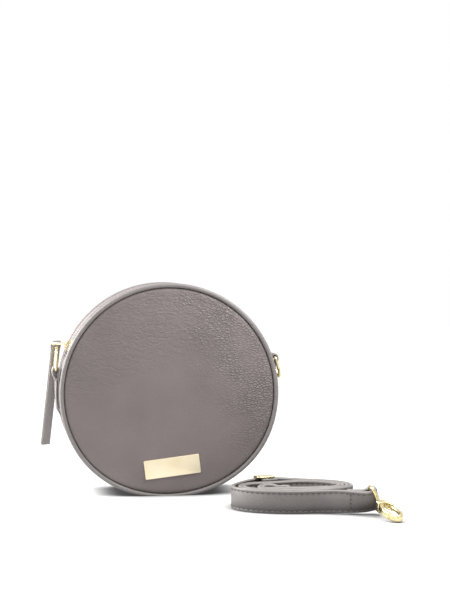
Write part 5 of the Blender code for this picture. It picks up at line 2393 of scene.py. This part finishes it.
    def build_gate(self) -> None:
        """Builds the sprung gate, which closes the hook's mouth."""
        basis = self.hook_frame
        word = self.clasp.word
        root = self.gate_root_x
        gate_end = root + self.gate_length - ROUND.gap
        pivot = self.gate_root_y
        turn = basis.to_3x3()
        stations = []
        for step in range(9):
            lean = pi / 2 * step / 8
            reach = max(0.15, sin(lean)) * self.gate_root
            spot = Vector((root - self.gate_root * cos(lean), pivot, 0))
            stations.append(Station(
                basis @ spot, turn @ Vector((0, 1, 0)), turn @ Vector((0, 0, 1)),
                reach, self.gate_thickness / 2,
            ))
        for step in range(1, 17):
            x = root + (gate_end - root) * step / 16
            outer, inner = self.wall_at(x, False), self.wall_at(x, True)
            stations.append(Station(
                basis @ Vector((x, (outer + inner) / 2, 0)), turn @ Vector((0, 1, 0)),
                turn @ Vector((0, 0, 1)), (outer - inner) / 2, self.gate_thickness / 2,
            ))
        mesh = sweep(stations, squircle(20, 3.2))
        place(
            f"clasp_gate_{word}", mesh, [self.finishes.gold], f"gate_{word}", f"gate_{word}_metal",
            f"clasp_{word}_gate",
        )


@dataclass(frozen=True)
class Lamp:
    """A soft lamp and the place that it faces.

    A SUN is far and has its width in radians and its strength in watts a square metre. An AREA is
    a near square panel, whose light falls off across the bag, with its side in metres and its
    strength in watts.
    """

    name: str
    kind: str
    source: Place
    aim: Place
    strength: float
    spread: float


@dataclass
class Studio:
    """The pale floor, the soft lights, the white surroundings and the camera."""

    floor_size: float = 6.0
    floor_shade_reach: float = 0.022
    floor_glow: float = 0.60
    paper_hex: str = "#B8B8B8"
    lens: float = 85.0
    sensor: float = 36.0
    distance: float = 1.28
    turn: float = radians(-7.0)
    camera_height: float = 0.21
    aim_height: float = 0.09
    shift_x: float = 0.0984
    shift_y: float = 0.1536
    ambient: float = 0.27
    lamps: tuple[Lamp, ...] = (
        Lamp("key_light", "SUN", (-0.60, -0.40, 0.95), (0.0, 0.0, 0.0), 0.76, radians(50.0)),
        Lamp("rim_light", "SUN", (-0.85, 0.38, 0.62), (0.0, 0.0, 0.0), 3.8, radians(34.0)),
        Lamp("overhead_light", "AREA", (0.20, -0.15, 0.38), (0.07, -0.03, 0.15), 1.45, 0.20),
        Lamp("side_light", "AREA", (-0.46, -0.42, 0.34), (-0.05, -0.03, 0.08), 0.80, 0.30),
        Lamp("left_light", "AREA", (-0.34, 0.05, 0.17), (-0.09, -0.01, 0.08), 1.3, 0.20),
    )

    def build(self) -> None:
        """Builds the stage, the lights and the camera."""
        self.build_floor()
        self.build_world()
        for lamp in self.lamps:
            self.build_lamp(lamp)
        self.build_camera()
        bpy.context.scene.view_settings.view_transform = "Standard"

    def build_floor(self) -> None:
        """Builds the floor: white to the camera where it is lit, and shaded where it isn't, with a
        painted contact shadow close under things.
        """
        shape = bmesh.new()
        bmesh.ops.create_grid(shape, x_segments=2, y_segments=2, size=self.floor_size / 2)
        mesh = bpy.data.meshes.new("floor")
        shape.to_mesh(mesh)
        shape.free()
        material = bpy.data.materials.new("matt_white_floor")
        material.use_nodes = True
        tree = material.node_tree
        shader = tree.nodes["Principled BSDF"]
        seen = self.seen_directly(tree)
        # Painted contact shadow: close under and before a thing that stands on it, the paper sees
        # less of the studio, so ambient occlusion darkens the paper's colour and its glow
        near = put(tree, "AmbientOcclusion", {"Distance": self.floor_shade_reach}, samples=16)
        lit = put(tree, "MapRange", {
            "Value": near.outputs["AO"], "From Min": 0.24, "From Max": 0.88, "To Min": 0.08,
            "To Max": 1.0,
        })
        paper = put(tree, "VectorMath", {0: linear(self.paper_hex)[:3], 3: lit}, operation="SCALE")
        fill(tree, shader, {"Base Color": paper, "Roughness": 0.9, "Specular IOR Level": 0.0})
        glow = put(tree, "Math", {0: lit, 1: self.floor_glow}, operation="MULTIPLY")
        glow = put(tree, "Math", {0: seen, 1: glow}, operation="MULTIPLY")
        white = put(tree, "Emission", {"Color": linear("#FFFFFF"), "Strength": glow})
        both = put(tree, "AddShader", {0: shader, 1: white})
        fill(tree, tree.nodes["Material Output"], {"Surface": both})
        floor = shown("floor", mesh, [material])

    @staticmethod
    def seen_directly(tree: NodeTree) -> Node:
        """One for camera, glossy and transmission rays, and zero for rays that light the object.

        Args:
            tree: The node tree to add to.

        Returns:
            The switch.
        """
        path = put(tree, "LightPath")
        first = put(tree, "Math", {
            0: path.outputs["Is Camera Ray"], 1: path.outputs["Is Glossy Ray"],
        }, operation="MAXIMUM")
        both = put(tree, "Math", {
            0: first, 1: path.outputs["Is Transmission Ray"],
        }, operation="MAXIMUM")
        return both

    def build_world(self) -> None:
        """Builds the even light from all round, which shows as white."""
        world = bpy.data.worlds.new("white_studio")
        bpy.context.scene.world = world
        world.use_nodes = True
        tree = world.node_tree
        strength = put(tree, "MapRange", {
            "Value": self.seen_directly(tree), "To Min": self.ambient, "To Max": 1.0,
        })
        fill(tree, tree.nodes["Background"], {"Color": linear("#FFFFFF"), "Strength": strength})

    @staticmethod
    def stand(data: ID, spot: Vector, aim: Vector) -> Object:
        """Stands a lamp or the camera in its place.

        Args:
            data: The lamp's or the camera's settings.
            spot: Where it stands.
            aim: The place that it faces.

        Returns:
            The new object.
        """
        holder = bpy.data.objects.new(data.name, data)
        bpy.context.scene.collection.objects.link(holder)
        holder.location = spot
        holder.rotation_euler = (aim - spot).to_track_quat("-Z", "Y").to_euler()
        return holder

    def build_lamp(self, lamp: Lamp) -> None:
        """Builds one lamp.

        Args:
            lamp: The lamp.
        """
        light = bpy.data.lights.new(lamp.name, lamp.kind)
        light.energy = lamp.strength
        setattr(light, "angle" if lamp.kind == "SUN" else "size", lamp.spread)
        self.stand(light, Vector(lamp.source), Vector(lamp.aim))

    def build_camera(self) -> None:
        """Builds the camera at the photograph's viewing angle."""
        data = bpy.data.cameras.new("camera")
        data.lens = self.lens
        data.sensor_fit = "VERTICAL"
        data.sensor_height = self.sensor
        data.shift_x = self.shift_x
        data.shift_y = self.shift_y
        spot = Vector((
            sin(self.turn) * self.distance, -cos(self.turn) * self.distance, self.camera_height,
        ))
        bpy.context.scene.camera = self.stand(data, spot, Vector((0.0, 0.0, self.aim_height)))


def main() -> None:
    """Builds the whole scene in order and reports each piece."""
    logging.basicConfig(level=logging.INFO, format="%(message)s")
    Studio().build()
    finishes = Finishes()
    BagShell(finishes).build()
    zip_part = Zip(finishes)
    zip_part.build()
    Pull(finishes, zip_part).build()
    RingTab(finishes, End.LEFT, radians(15.5), 0.0055, radians(83.0)).build()
    RingTab(finishes, End.RIGHT, radians(13.0), 0.0070, radians(-77.0)).build()
    NamePlate(finishes).build()
    coil = Coil()
    Strap(finishes, coil).build()
    StrapSlide(finishes, coil).build()
    SwivelClasp(finishes, coil, Clasp.A, radians(65.5), radians(-22.0)).build()
    SwivelClasp(finishes, coil, Clasp.B, radians(-12.0), radians(-55.0)).build()


if __name__ == "__main__":
    main()
